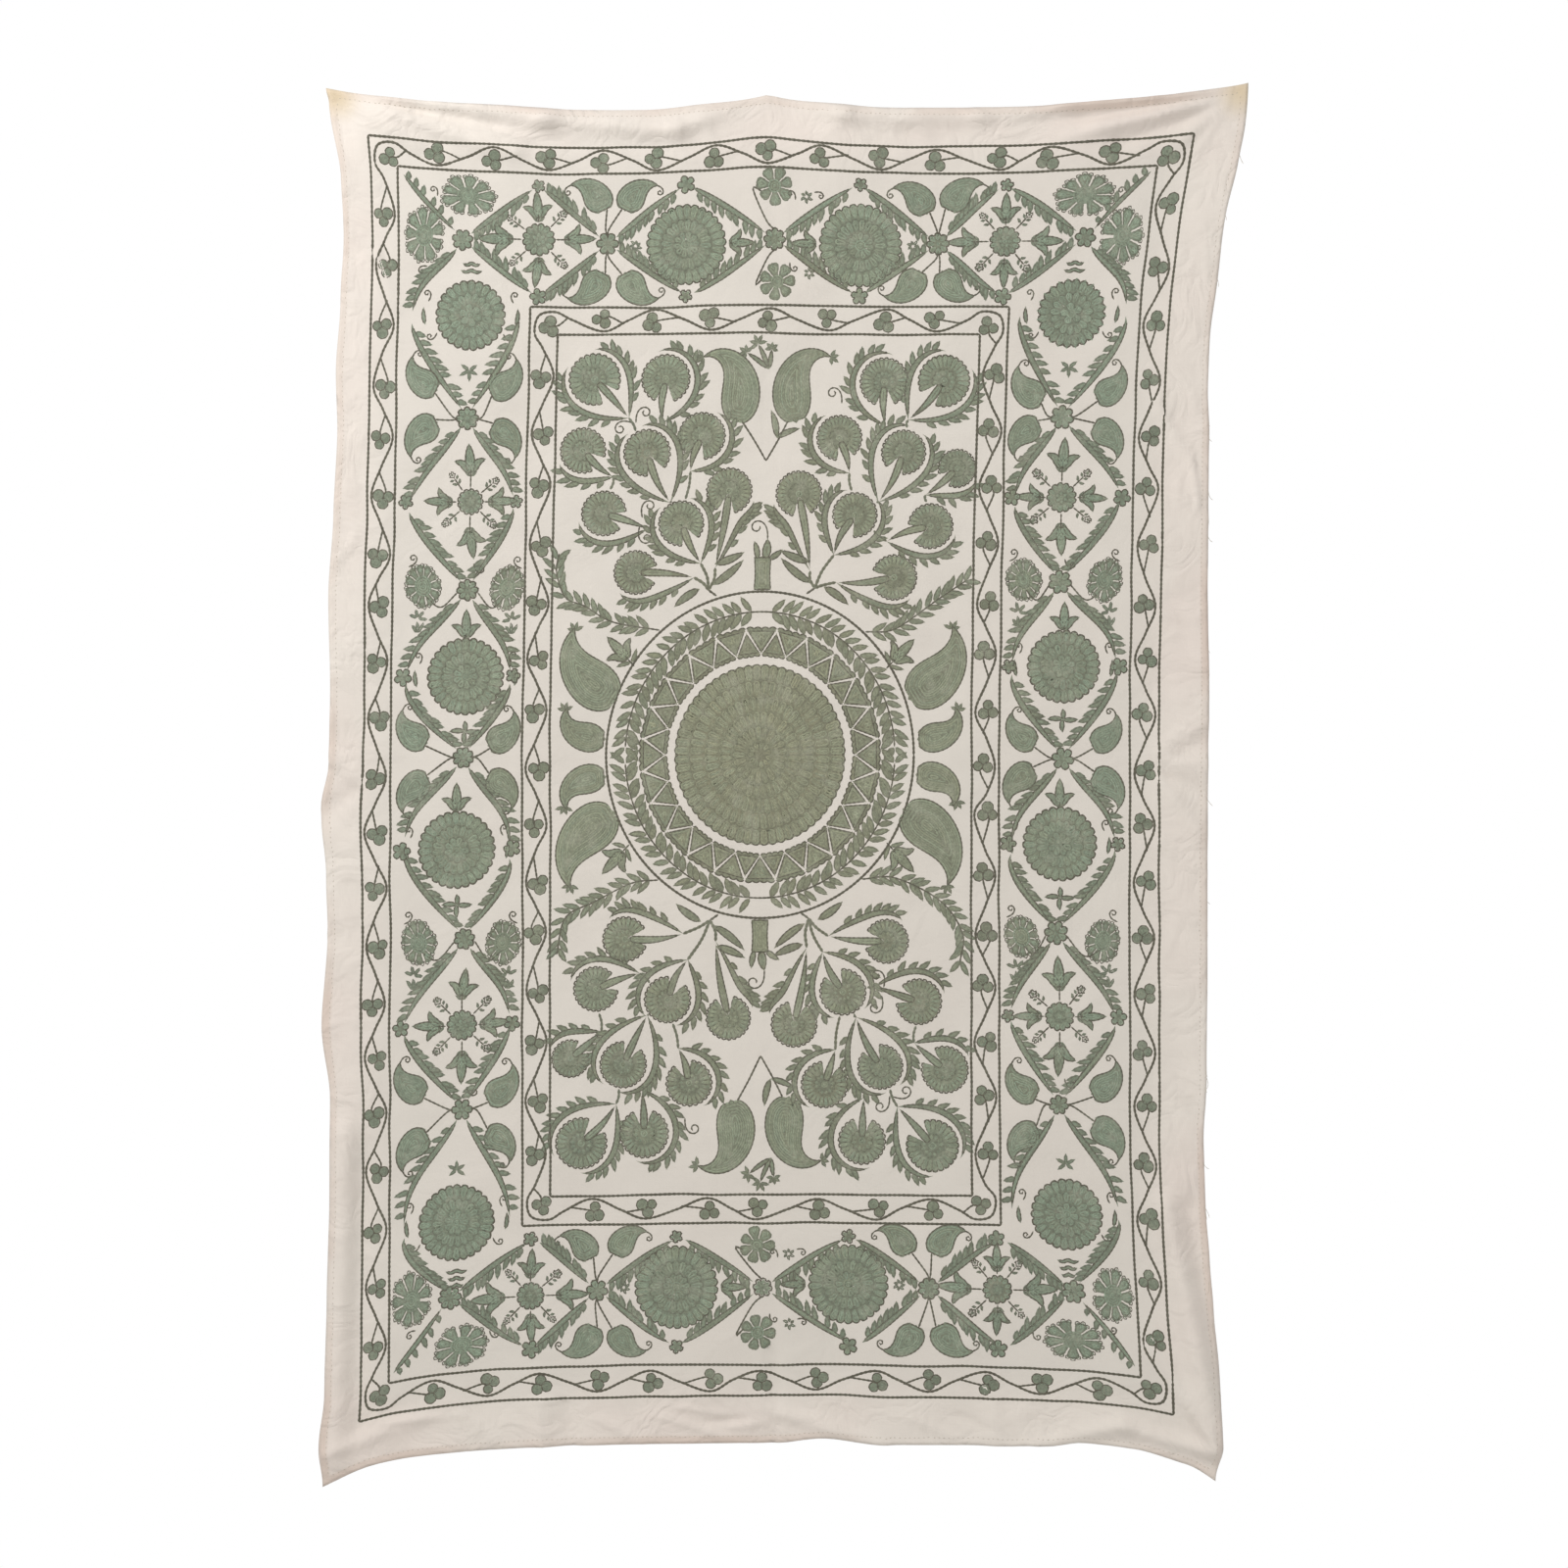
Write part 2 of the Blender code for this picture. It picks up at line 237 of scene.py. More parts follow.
def hang(across, down):
    """Where a point of the flat cloth hangs, right of and below the middle pin: the lean of the top, the sum
    of the pulls, each dying away exponentially, and the waves of the four edges."""
    right = across + LEAN * np.clip((LEAN_STARTS_DOWN - down) / LEAN_SPAN, 0.0, 1.0) ** LEAN_POWER
    below = down + SAG_AT_TOP
    for pull in PULLS:
        away = np.hypot((across - pull.across) / pull.reach_across, (down - pull.down) / pull.reach_down)
        felt = np.exp(-(away**pull.power))
        right = right + pull.right * felt
        below = below - pull.up * felt
    right = right + wave_at(LEFT_EDGE, down) * near_edge(across - CLOTH_LEFT)
    right = right - wave_at(RIGHT_EDGE, down) * near_edge(CLOTH_RIGHT - across)
    below = below + wave_at(TOP_EDGE, across) * near_edge(down)
    below = below - wave_at(BOTTOM_EDGE, across) * near_edge(CLOTH_LENGTH - down)
    return right, below


def fold_height(fold, right, below):
    """How far one fold stands out: a bell across its line, fading in and out along it."""
    run_right, run_below = fold.to_right - fold.right, fold.to_below - fold.below
    length = np.hypot(run_right, run_below)
    along = ((right - fold.right) * run_right + (below - fold.below) * run_below) / length**2
    off_line = ((right - fold.right) * run_below - (below - fold.below) * run_right) / length
    half_width = fold.half_width + (fold.to_half_width - fold.half_width) * np.clip(along, 0.0, 1.0)
    past_end = np.maximum(np.maximum(-along, along - 1.0), 0.0) * length
    return fold.height * np.exp(-(np.hypot(off_line, past_end) / half_width) ** 2)


def depth(right, below):
    """How far the cloth stands out from the wall: long waves, folds and puckers, and nothing at the pins."""
    pins = [hang(np.array(pin_across), np.array(pin_down)) for pin_across, pin_down in PINS]
    to_pin = np.min([np.hypot(right - x, below - z) for x, z in pins], axis=0)
    waves = np.sin(2 * np.pi * right / WAVE_LENGTH_ACROSS) * np.cos(2 * np.pi * below / WAVE_LENGTH_DOWN)
    standing = STAND_OFF + WAVE_HEIGHT * waves + sum(fold_height(fold, right, below) for fold in FOLDS)
    for pucker in PUCKERS:
        run = right * np.cos(pucker.lean) + below * np.sin(pucker.lean)
        turn = right * np.sin(pucker.lean) - below * np.cos(pucker.lean)
        swing = np.sin(2 * np.pi * run / pucker.length + pucker.start + np.sin(turn / pucker.length))
        standing = standing + pucker.height * swing
    return standing * smooth_step((to_pin - PIN_FLAT_RADIUS) / (PIN_FREE_RADIUS - PIN_FLAT_RADIUS))


def on_ground(spots):
    """The points in space, in millimetres, where places of the flat cloth hang."""
    right, below = hang(spots.real, spots.imag)
    return np.stack([right, -depth(right, below), -below], axis=-1)


def outward(spots):
    """The unit normals of the cloth's front: the cross product of its runs down and across."""
    step = 1.0
    run_across = on_ground(spots + step) - on_ground(spots - step)
    run_down = on_ground(spots + 1j * step) - on_ground(spots - 1j * step)
    normal = np.cross(run_down, run_across)
    return normal / np.linalg.norm(normal, axis=-1, keepdims=True)


GROUND_THICKNESS = 1.2
HEM_THICKNESS = 2.4
HEM_WIDTH = 12.0
HEM_STEP = 3.0
MARGIN = 88.0
MARGIN_STEP = 4.2
MIDDLE_STEP = 12.0


def cloth_lines(start, end):
    """The grid's lines from edge to edge: the hem's two, close ones in the margin and wide ones within."""
    margin = np.arange(HEM_WIDTH + HEM_STEP, MARGIN, MARGIN_STEP)
    edge = np.concatenate([[0.0, HEM_WIDTH / 2, HEM_WIDTH], margin])
    count = int(round((end - start - 2 * MARGIN) / MIDDLE_STEP)) + 1
    middle = np.linspace(start + MARGIN, end - MARGIN, count)
    return np.concatenate([start + edge, middle, end - edge[::-1]])


def make_mesh(name, points, faces, uv, attributes=()):
    """A mesh from arrays: points in millimetres, faces of four corners, and each point's UV and values."""
    mesh = bpy.data.meshes.new(name)
    mesh.vertices.add(len(points))
    mesh.vertices.foreach_set("co", (points * MM).astype(np.float32).ravel())
    mesh.loops.add(faces.size)
    mesh.loops.foreach_set("vertex_index", faces.astype(np.int32).ravel())
    mesh.polygons.add(len(faces))
    mesh.polygons.foreach_set("loop_start", np.arange(0, faces.size, 4, dtype=np.int32))
    layer = mesh.uv_layers.new(name="UVMap")
    layer.uv.foreach_set("vector", uv[faces.ravel()].astype(np.float32).ravel())
    for title, values in attributes:
        attribute = mesh.attributes.new(title, "FLOAT", "POINT")
        attribute.data.foreach_set("value", values.astype(np.float32))
    mesh.update(calc_edges=True)
    mesh.validate()
    mesh.shade_smooth()
    return mesh


def add_piece(name, mesh, material):
    """A new piece in the scene, which rides with the cloth and has the material given to it."""
    piece = bpy.data.objects.new(name, mesh)
    mesh.materials.append(material)
    bpy.context.scene.collection.objects.link(piece)
    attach(piece, "root")
    return piece


def add_node(tree, kind, values, **settings):
    """Adds one shader node, sets its properties, and fills its inputs with values or links."""
    made = tree.nodes.new(kind)
    for title, setting in settings.items():
        setattr(made, title, setting)
    for socket, value in values.items():
        if isinstance(value, bpy.types.NodeSocket):
            tree.links.new(value, made.inputs[socket])
        else:
            made.inputs[socket].default_value = value
    return made


def calculate(tree, operation, *values):
    """The result of one arithmetic step between numbers or sockets."""
    return add_node(tree, "ShaderNodeMath", dict(enumerate(values)), operation=operation).outputs[0]


def blend_colours(tree, share, first, second, how="MIX"):
    """Two colours mixed by a share, which can be a number or a socket."""
    values = {0: share, 6: first, 7: second}
    return add_node(tree, "ShaderNodeMix", values, data_type="RGBA", blend_type=how).outputs[2]


def new_group(name, inputs, outputs):
    """An empty shader node group with named sockets, and its two end nodes."""
    group = bpy.data.node_groups.new(name, "ShaderNodeTree")
    for title, kind in inputs:
        group.interface.new_socket(title, in_out="INPUT", socket_type=kind)
    for title, kind in outputs:
        group.interface.new_socket(title, in_out="OUTPUT", socket_type=kind)
    return group, group.nodes.new("NodeGroupInput"), group.nodes.new("NodeGroupOutput")


def new_material(name, roughness, sheen):
    """A material whose Principled shader has a plain roughness and a soft sheen of its own."""
    material = bpy.data.materials.new(name)
    material.use_nodes = True
    shader = material.node_tree.nodes["Principled BSDF"]
    shader.inputs["Roughness"].default_value = roughness
    shader.inputs["Specular IOR Level"].default_value = 0.25
    shader.inputs["Sheen Weight"].default_value = sheen
    shader.inputs["Sheen Roughness"].default_value = 0.5
    return material, material.node_tree, shader


def noise_share(tree, place, scale, detail, low, high):
    """Cloudy noise as a share, 0 below one level and 1 above another."""
    values = {"Vector": place, "Scale": scale, "Detail": detail}
    cloudy = add_node(tree, "ShaderNodeTexNoise", values).outputs[0]
    values = {"Value": cloudy, "From Min": low, "From Max": high}
    return add_node(tree, "ShaderNodeMapRange", values).outputs[0]


def bumpy(tree, height, strength, distance, under=None):
    """The normal of a surface with bumps up to a distance in metres, over an earlier normal or none."""
    values = {"Height": height, "Strength": strength, "Distance": distance}
    if under is not None:
        values["Normal"] = under
    return add_node(tree, "ShaderNodeBump", values).outputs[0]


def plain_weave_group():
    """Plain weave with uneven yarns, on a cloth's own coordinates in metres. The yarns are two crossed sine
    waves, and the slubs are noise drawn out along each set of yarns."""
    inputs = [("Cloth", "NodeSocketVector"), ("Yarns per metre", "NodeSocketFloat")]
    outputs = [("Height", "NodeSocketFloat"), ("Slubs", "NodeSocketFloat")]
    group, start, end = new_group("Plain weave", inputs, outputs)
    parts = add_node(group, "ShaderNodeSeparateXYZ", {0: start.outputs["Cloth"]})
    turn = calculate(group, "MULTIPLY", start.outputs["Yarns per metre"], 2 * np.pi)
    warp = calculate(group, "SINE", calculate(group, "MULTIPLY", parts.outputs[0], turn))
    weft = calculate(group, "SINE", calculate(group, "MULTIPLY", parts.outputs[1], turn))
    crossing = calculate(group, "MULTIPLY", warp, weft)
    slubs = []
    for stretch in ((520.0, 26.0, 1.0), (26.0, 430.0, 1.0)):
        values = {0: start.outputs["Cloth"], 1: stretch}
        drawn = add_node(group, "ShaderNodeVectorMath", values, operation="MULTIPLY")
        noise = {"Vector": drawn.outputs[0], "Scale": 1.0, "Detail": 2.0, "Roughness": 0.6}
        slubs.append(add_node(group, "ShaderNodeTexNoise", noise).outputs[0])
    yarns = calculate(group, "ADD", *slubs)
    height = calculate(group, "MULTIPLY_ADD", crossing, 0.22, yarns)
    group.links.new(height, end.inputs["Height"])
    group.links.new(yarns, end.inputs["Slubs"])
    return group


GROUND_CREAM = (0.76, 0.70, 0.635, 1.0)
GROUND_PINK = (0.75, 0.67, 0.61, 1.0)
GROUND_SHADE = (0.66, 0.60, 0.54, 1.0)
# Painted shade for the ground within the embroidered field.
FIELD_PAINTED_SHADE = (0.66, 0.62, 0.56, 1.0)
HEM_TAN = (0.60, 0.47, 0.39, 1.0)
STAIN_OCHRE = (0.62, 0.47, 0.24, 1.0)
STAIN_INSET = 12.0
STAIN_DOWN = 10.0
STAIN_RADIUS = 46.0
STITCHED_SIDES = (-630.0, 610.0)
STITCHED_ENDS = (72.0, 2022.0)
STITCHED_FADE = 40.0
HEM_FADE = 4.0
YARNS_PER_METRE = 1500.0
WEAVE = plain_weave_group()


def near_spot(tree, cloth, across, down, radius):
    """1 at a place on the cloth and 0 past a radius, all in millimetres."""
    values = {0: cloth, 1: (across * MM, -down * MM, 0.0)}
    away = add_node(tree, "ShaderNodeVectorMath", values, operation="DISTANCE").outputs["Value"]
    values = {"Value": away, "From Min": radius * MM, "From Max": 0.0}
    return add_node(tree, "ShaderNodeMapRange", values, interpolation_type="SMOOTHSTEP").outputs[0]


def within(tree, cloth, sides, ends, soft):
    """1 inside a rectangle of the cloth and 0 outside it, with edges that are soft over a distance on both
    sides, all in millimetres: the less of what lies between the sides and between the ends."""
    parts = add_node(tree, "ShaderNodeSeparateXYZ", {0: cloth})
    inside = []
    for part, (start, end), way in ((0, sides, MM), (1, ends, -MM)):
        middle, half = (start + end) / 2 * way, (end - start) / 2
        away = calculate(tree, "ABSOLUTE", calculate(tree, "SUBTRACT", parts.outputs[part], middle))
        values = {"Value": away, "From Min": (half + soft) * MM, "From Max": (half - soft) * MM}
        level = add_node(tree, "ShaderNodeMapRange", values, interpolation_type="SMOOTHSTEP")
        inside.append(level.outputs[0])
    return calculate(tree, "MINIMUM", *inside)


def ground_cotton():
    """Warm white cotton, matt, with slubs, faint cloudy soiling, a browner hem, ochre marks at the top
    corners and rumples, most in the plain margins. Within the embroidered field it is painted a little
    darker, as painted shade of the puckered, stitched ground."""
    material, tree, shader = new_material("ground_cotton", 0.92, 0.25)
    cloth = add_node(tree, "ShaderNodeUVMap", {}, uv_map="UVMap").outputs[0]
    values = {"Cloth": cloth, "Yarns per metre": YARNS_PER_METRE}
    weave = add_node(tree, "ShaderNodeGroup", values, node_tree=WEAVE)
    soft = noise_share(tree, cloth, 3.1, 4.0, 0.42, 0.62)
    faint = noise_share(tree, cloth, 14.0, 5.0, 0.55, 0.75)
    colour = blend_colours(tree, soft, GROUND_CREAM, GROUND_PINK)
    colour = blend_colours(tree, calculate(tree, "MULTIPLY", faint, 0.35), colour, GROUND_SHADE)
    values = {"Value": weave.outputs["Slubs"], "From Min": 0.7, "From Max": 1.35}
    slubs = add_node(tree, "ShaderNodeMapRange", values).outputs[0]
    colour = blend_colours(tree, calculate(tree, "MULTIPLY", slubs, 0.22), colour, GROUND_SHADE)
    stitched_field = within(tree, cloth, STITCHED_SIDES, STITCHED_ENDS, STITCHED_FADE)
    # Painted shade: the ground within the embroidered field is darkened a little.
    colour = blend_colours(tree, calculate(tree, "MULTIPLY", stitched_field, 0.75), colour, FIELD_PAINTED_SHADE)
    sides = (CLOTH_LEFT + HEM_WIDTH, CLOTH_RIGHT - HEM_WIDTH)
    inside_hem = within(tree, cloth, sides, (HEM_WIDTH, CLOTH_LENGTH - HEM_WIDTH), HEM_FADE)
    on_hem = calculate(tree, "MULTIPLY", calculate(tree, "SUBTRACT", 1.0, inside_hem), 0.5)
    colour = blend_colours(tree, calculate(tree, "MULTIPLY", on_hem, soft), colour, HEM_TAN)
    for across in (CLOTH_LEFT + STAIN_INSET, CLOTH_RIGHT - STAIN_INSET):
        stain = calculate(tree, "MULTIPLY", near_spot(tree, cloth, across, STAIN_DOWN, STAIN_RADIUS), 0.55)
        colour = blend_colours(tree, stain, colour, STAIN_OCHRE)
    tree.links.new(colour, shader.inputs["Base Color"])
    values = {"Vector": cloth, "Scale": 13.0, "Detail": 2.5, "Distortion": 1.4}
    rumples = add_node(tree, "ShaderNodeTexNoise", values).outputs[0]
    creases = calculate(tree, "ABSOLUTE", calculate(tree, "SUBTRACT", rumples, 0.5))
    creases = calculate(tree, "MULTIPLY", creases, calculate(tree, "MULTIPLY_ADD", stitched_field, -0.7, 1.0))
    rumpled = bumpy(tree, creases, 0.6, 0.012)
    tree.links.new(bumpy(tree, weave.outputs["Height"], 0.35, 0.0006, rumpled), shader.inputs["Normal"])
    return material


columns = cloth_lines(CLOTH_LEFT, CLOTH_RIGHT)
crossings = cloth_lines(0.0, CLOTH_LENGTH)
grid_spots = columns[None, :] + 1j * crossings[:, None]
grid_front = on_ground(grid_spots)
grid_normal = outward(grid_spots)


def cloth_sheet():
    """The cloth's front and back grids, a thickness apart along the normal, joined round the four edges."""
    spots, front = grid_spots, grid_front
    from_edge = np.minimum(spots.real - CLOTH_LEFT, CLOTH_RIGHT - spots.real)
    from_edge = np.minimum(from_edge, np.minimum(spots.imag, CLOTH_LENGTH - spots.imag))
    thickness = np.where(from_edge < HEM_WIDTH + HEM_STEP / 2, HEM_THICKNESS, GROUND_THICKNESS)
    back = front - grid_normal * thickness[..., None]
    points = np.concatenate([front.reshape(-1, 3), back.reshape(-1, 3)])
    number = np.arange(spots.size).reshape(spots.shape)
    squares = [number[:-1, :-1], number[1:, :-1], number[1:, 1:], number[:-1, 1:]]
    front_faces = np.stack([corner.ravel() for corner in squares], axis=1)
    back_faces = front_faces[:, ::-1] + spots.size
    rim = np.concatenate([number[0, :-1], number[:-1, -1], number[-1, :0:-1], number[:0:-1, 0]])
    rim_next = np.roll(rim, -1)
    side_faces = np.stack([rim, rim_next, rim_next + spots.size, rim + spots.size], axis=1)
    flat = np.stack([spots.real.ravel(), -spots.imag.ravel()], axis=1) * MM
    faces = np.concatenate([front_faces, back_faces, side_faces])
    return make_mesh("ground_cloth", points, faces, np.concatenate([flat, flat]))


ground = add_piece("ground_cloth", cloth_sheet(), ground_cotton())
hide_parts("suzani_cloth")

# The outline frame
# Four rectangles of dark thread, each one row of chain stitch, that part the cloth into a plain margin, a
# narrow vine border, the main border, a second vine border and the field. The first section of stitching
# holds what all of it needs: how a row is stitched, and the thread.
ROW_WIDTH = 3.5
LINE_WIDTH = 4.3
EDGE_WIDTH = 2.7
LINK_LENGTH = 7.35
LINK_HEIGHT = 1.0
EDGE_SINK = 0.1
DARK = 0.0
SAGE = 1.0
PADDING_HEIGHT = 0.3
HEADING_REACH = 0.7
Row = namedtuple("Row", "line tone width padding", defaults=(False,))
Stations = namedtuple("Stations", "places forward widths number row_of links")
hand = np.random.default_rng(41)


def row_stations(rows):
    """Where the needle goes along each row: two stations for a link, evenly spaced. Gives their places,
    directions and widths, the number of each along its row, the number of that row, and each row's links."""
    lines = [row.line for row in rows]
    sizes = np.array([len(line) for line in lines])
    ends = np.cumsum(sizes) - 1
    starts = ends - sizes + 1
    points = np.concatenate(lines)
    steps = np.abs(np.diff(points, prepend=points[0]))
    steps[starts] = 0.0
    travelled = np.cumsum(steps)
    lengths = travelled[ends] - travelled[starts]
    links = np.maximum(np.round(lengths / LINK_LENGTH).astype(int), 1)
    counts = 2 * links + 1
    first = np.cumsum(counts) - counts
    row_of = np.repeat(np.arange(len(rows)), counts)
    step_number = np.arange(counts.sum()) - first[row_of]
    share = step_number / (2 * links[row_of])
    # A millimetre between one row's end and the next row's start keeps the distances rising.
    gap = np.arange(len(rows))
    measured = travelled + np.repeat(gap, sizes)
    wanted = travelled[starts][row_of] + gap[row_of] + share * lengths[row_of]
    places = np.interp(wanted, measured, points.real) + 1j * np.interp(wanted, measured, points.imag)
    ahead = np.minimum(wanted + HEADING_REACH, travelled[ends][row_of] + gap[row_of])
    behind = np.maximum(wanted - HEADING_REACH, travelled[starts][row_of] + gap[row_of])
    forward = np.interp(ahead, measured, points.real) + 1j * np.interp(ahead, measured, points.imag)
    forward -= np.interp(behind, measured, points.real) + 1j * np.interp(behind, measured, points.imag)
    forward /= np.maximum(np.abs(forward), 1e-9)
    widths = np.concatenate([np.broadcast_to(row.width, len(row.line)) for row in rows])
    return Stations(places, forward, np.interp(wanted, measured, widths), step_number, row_of, links)


def on_cloth(spots):
    """Points on the front of the cloth's own grid and their normals, blended from each square's corners."""
    column = np.clip(np.searchsorted(columns, spots.real) - 1, 0, len(columns) - 2)
    crossing = np.clip(np.searchsorted(crossings, spots.imag) - 1, 0, len(crossings) - 2)
    share = (spots.real - columns[column]) / (columns[column + 1] - columns[column])
    fall = (spots.imag - crossings[crossing]) / (crossings[crossing + 1] - crossings[crossing])
    share, fall = share[:, None], fall[:, None]
    blended = []
    for grid in (grid_front, grid_normal):
        upper = grid[crossing, column] * (1 - share) + grid[crossing, column + 1] * share
        lower = grid[crossing + 1, column] * (1 - share) + grid[crossing + 1, column + 1] * share
        blended.append(upper * (1 - fall) + lower * fall)
    return blended


def stitched_mesh(name, rows):
    """Rows of chain stitch as ribbons of three points across, which swell to a link's middle and sink and
    narrow where the next link holds it down. A row's ends taper to the cloth, and padding lies flat."""
    places, forward, widths, step_number, row_of, links = row_stations(rows)
    padding = np.array([row.padding for row in rows])[row_of]
    tones = np.array([row.tone for row in rows]) * hand.uniform(0.68, 1.0, len(rows))
    tones = tones[row_of] + hand.normal(0.0, 0.04, len(row_of))
    dye = row_dye(rows)[row_of]
    swell = (step_number % 2).astype(float)
    at_end = (step_number == 0) | (step_number == 2 * links[row_of])
    half = widths * np.where(padding, 0.5, np.where(at_end, 0.3, 0.42 + 0.15 * swell))
    lift = LINK_HEIGHT * np.minimum(widths / ROW_WIDTH, 1.1) * np.where(at_end, 0.25, 0.62 + 0.38 * swell)
    lift = np.where(padding, PADDING_HEIGHT, lift)
    sideways = 1j * forward
    middle, normal = on_cloth(places)
    edge_lift = normal * np.where(padding, PADDING_HEIGHT, -EDGE_SINK)[:, None]
    left = on_cloth(places - sideways * half)[0] + edge_lift
    right = on_cloth(places + sideways * half)[0] + edge_lift
    middle = middle + normal * lift[:, None]
    points = np.stack([left, middle, right], axis=1).reshape(-1, 3)
    first = np.flatnonzero(row_of[1:] == row_of[:-1]) * 3
    near = np.stack([first, first + 3, first + 4, first + 1], axis=1)
    far = near + 1
    faces = np.stack([near, far], axis=1).reshape(-1, 4)
    along = np.repeat(step_number / 2.0, 3)
    aside = np.where(np.repeat(padding, 3), 0.25, np.tile([-0.5, 0.0, 0.5], len(places)))
    values = [("tone", np.repeat(tones, 3)), ("dye", np.repeat(dye, 3))]
    return make_mesh(name, points, faces, np.stack([along, aside], axis=1), values)


def row_dye(rows):
    """The dye lot of each row: 0 olive to 1 blue green. It is bluer towards the top and bottom of the cloth,
    and differs a little from row to row."""
    middle = np.array([row.line.mean() for row in rows])
    from_centre = np.hypot(middle.real / 420.0, (middle.imag - 1020.0) / 760.0)
    return np.clip(0.12 + 0.62 * from_centre + hand.normal(0.0, 0.09, len(rows)), 0.0, 1.0)


def chain_loop_group():
    """The look of one link of chain stitch, on coordinates of links along and -0.5 to 0.5 across. Two strands
    bow apart and close again, with a slot between them, and each strand is twisted. The slot's mask is
    for painted shade."""
    outputs = [("Height", "NodeSocketFloat"), ("Slot shade", "NodeSocketFloat")]
    group, start, end = new_group("Chain loop", [("Stitch", "NodeSocketVector")], outputs)
    parts = add_node(group, "ShaderNodeSeparateXYZ", {0: start.outputs["Stitch"]})
    phase = calculate(group, "FRACT", parts.outputs[0])
    bow = calculate(group, "SINE", calculate(group, "MULTIPLY", phase, np.pi))
    aside = calculate(group, "ABSOLUTE", parts.outputs[1])
    strand = calculate(group, "MULTIPLY_ADD", bow, 0.17, 0.08)
    off_strand = calculate(group, "ABSOLUTE", calculate(group, "SUBTRACT", aside, strand))
    ridge = calculate(group, "SUBTRACT", 1.0, calculate(group, "MULTIPLY", off_strand, 4.0))
    slant = calculate(group, "MULTIPLY", aside, 9.0)
    twist_run = calculate(group, "MULTIPLY_ADD", parts.outputs[0], 5.0, slant)
    twist = calculate(group, "SINE", calculate(group, "MULTIPLY", twist_run, 2 * np.pi))
    height = calculate(group, "MULTIPLY_ADD", twist, 0.10, ridge)
    inside = calculate(group, "SUBTRACT", strand, aside)
    slot = add_node(group, "ShaderNodeMapRange", {"Value": inside, "From Min": 0.04, "From Max": 0.16})
    group.links.new(height, end.inputs["Height"])
    group.links.new(slot.outputs[0], end.inputs["Slot shade"])
    return group


CHAIN_LOOP = chain_loop_group()
OUTLINE_BROWN = (0.125, 0.115, 0.083, 1.0)
SAGE_OLIVE = (0.385, 0.385, 0.25, 1.0)
SAGE_BLUE = (0.315, 0.395, 0.29, 1.0)
THREAD_WORN = (0.47, 0.465, 0.37, 1.0)


def embroidery_thread(name, worn_share):
    """Soft twisted thread: its colour runs from the outline's brown to the fill's sage with the row's tone,
    and from olive to blue green with its dye. It is paler where worn, and has painted shade in each link's
    slot and between the rows."""
    material, tree, shader = new_material(name, 0.72, 0.35)
    stitch = add_node(tree, "ShaderNodeUVMap", {}, uv_map="UVMap").outputs[0]
    loop = add_node(tree, "ShaderNodeGroup", {"Stitch": stitch}, node_tree=CHAIN_LOOP)
    tone = add_node(tree, "ShaderNodeAttribute", {}, attribute_name="tone").outputs["Fac"]
    dye = add_node(tree, "ShaderNodeAttribute", {}, attribute_name="dye").outputs["Fac"]
    place = add_node(tree, "ShaderNodeTexCoord", {}).outputs["Object"]
    worn = noise_share(tree, place, 42.0, 4.0, 0.5, 0.72)
    fleck = noise_share(tree, place, 260.0, 3.0, 0.38, 0.68)
    sage = blend_colours(tree, dye, SAGE_OLIVE, SAGE_BLUE)
    colour = blend_colours(tree, tone, OUTLINE_BROWN, sage)
    colour = blend_colours(tree, calculate(tree, "MULTIPLY", worn, worn_share), colour, THREAD_WORN)
    aside = add_node(tree, "ShaderNodeSeparateXYZ", {0: stitch}).outputs[1]
    values = {"Value": calculate(tree, "ABSOLUTE", aside), "From Min": 0.3, "From Max": 0.5}
    furrow_shade = add_node(tree, "ShaderNodeMapRange", values).outputs[0]
    shade = calculate(tree, "MULTIPLY_ADD", fleck, 0.26, 0.84)
    # Painted shade: each link's slot and the furrows between rows are darkened in the colour. The flecks are
    # the thread's own.
    for hollow, darker in ((loop.outputs["Slot shade"], 0.3), (furrow_shade, 0.4)):
        shade = calculate(tree, "MULTIPLY", shade, calculate(tree, "MULTIPLY_ADD", hollow, -darker, 1.0))
    grey = add_node(tree, "ShaderNodeCombineColor", {0: shade, 1: shade, 2: shade}).outputs[0]
    colour = blend_colours(tree, 1.0, colour, grey, "MULTIPLY")
    tree.links.new(colour, shader.inputs["Base Color"])
    tree.links.new(bumpy(tree, loop.outputs["Height"], 0.5, 0.0005), shader.inputs["Normal"])
    return material


SAGE_THREAD = embroidery_thread("sage_thread", 0.28)
OUTLINE_THREAD = embroidery_thread("outline_thread", 0.12)
all_rows = []


def embroider(name, rows, slot="sage_thread"):
    """Stitches rows into the cloth as one piece, and notes them for the cloth's back."""
    material = SAGE_THREAD if slot == "sage_thread" else OUTLINE_THREAD
    all_rows.extend(rows)
    return add_piece(name, stitched_mesh(name, rows), material)


def smooth_line(*spots, closed=False):
    """A smooth line through places on the cloth: a cubic between each two, level with their neighbours."""
    spots = np.array(spots, dtype=complex)
    if closed:
        before, after = np.roll(spots, 1), np.roll(spots, -1)
        slopes = (after - before) / 2
        starts, ends, rises, falls = spots, after, slopes, np.roll(slopes, -1)
    else:
        slopes = np.gradient(spots)
        starts, ends, rises, falls = spots[:-1], spots[1:], slopes[:-1], slopes[1:]
    t = np.linspace(0.0, 1.0, 10, endpoint=False)[None, :]
    starts, ends, rises, falls = (part[:, None] for part in (starts, ends, rises, falls))
    line = (2 * t**3 - 3 * t**2 + 1) * starts + (t**3 - 2 * t**2 + t) * rises
    line = line + (3 * t**2 - 2 * t**3) * ends + (t**3 - t**2) * falls
    last = spots[0] if closed else spots[-1]
    return np.append(line.ravel(), last)


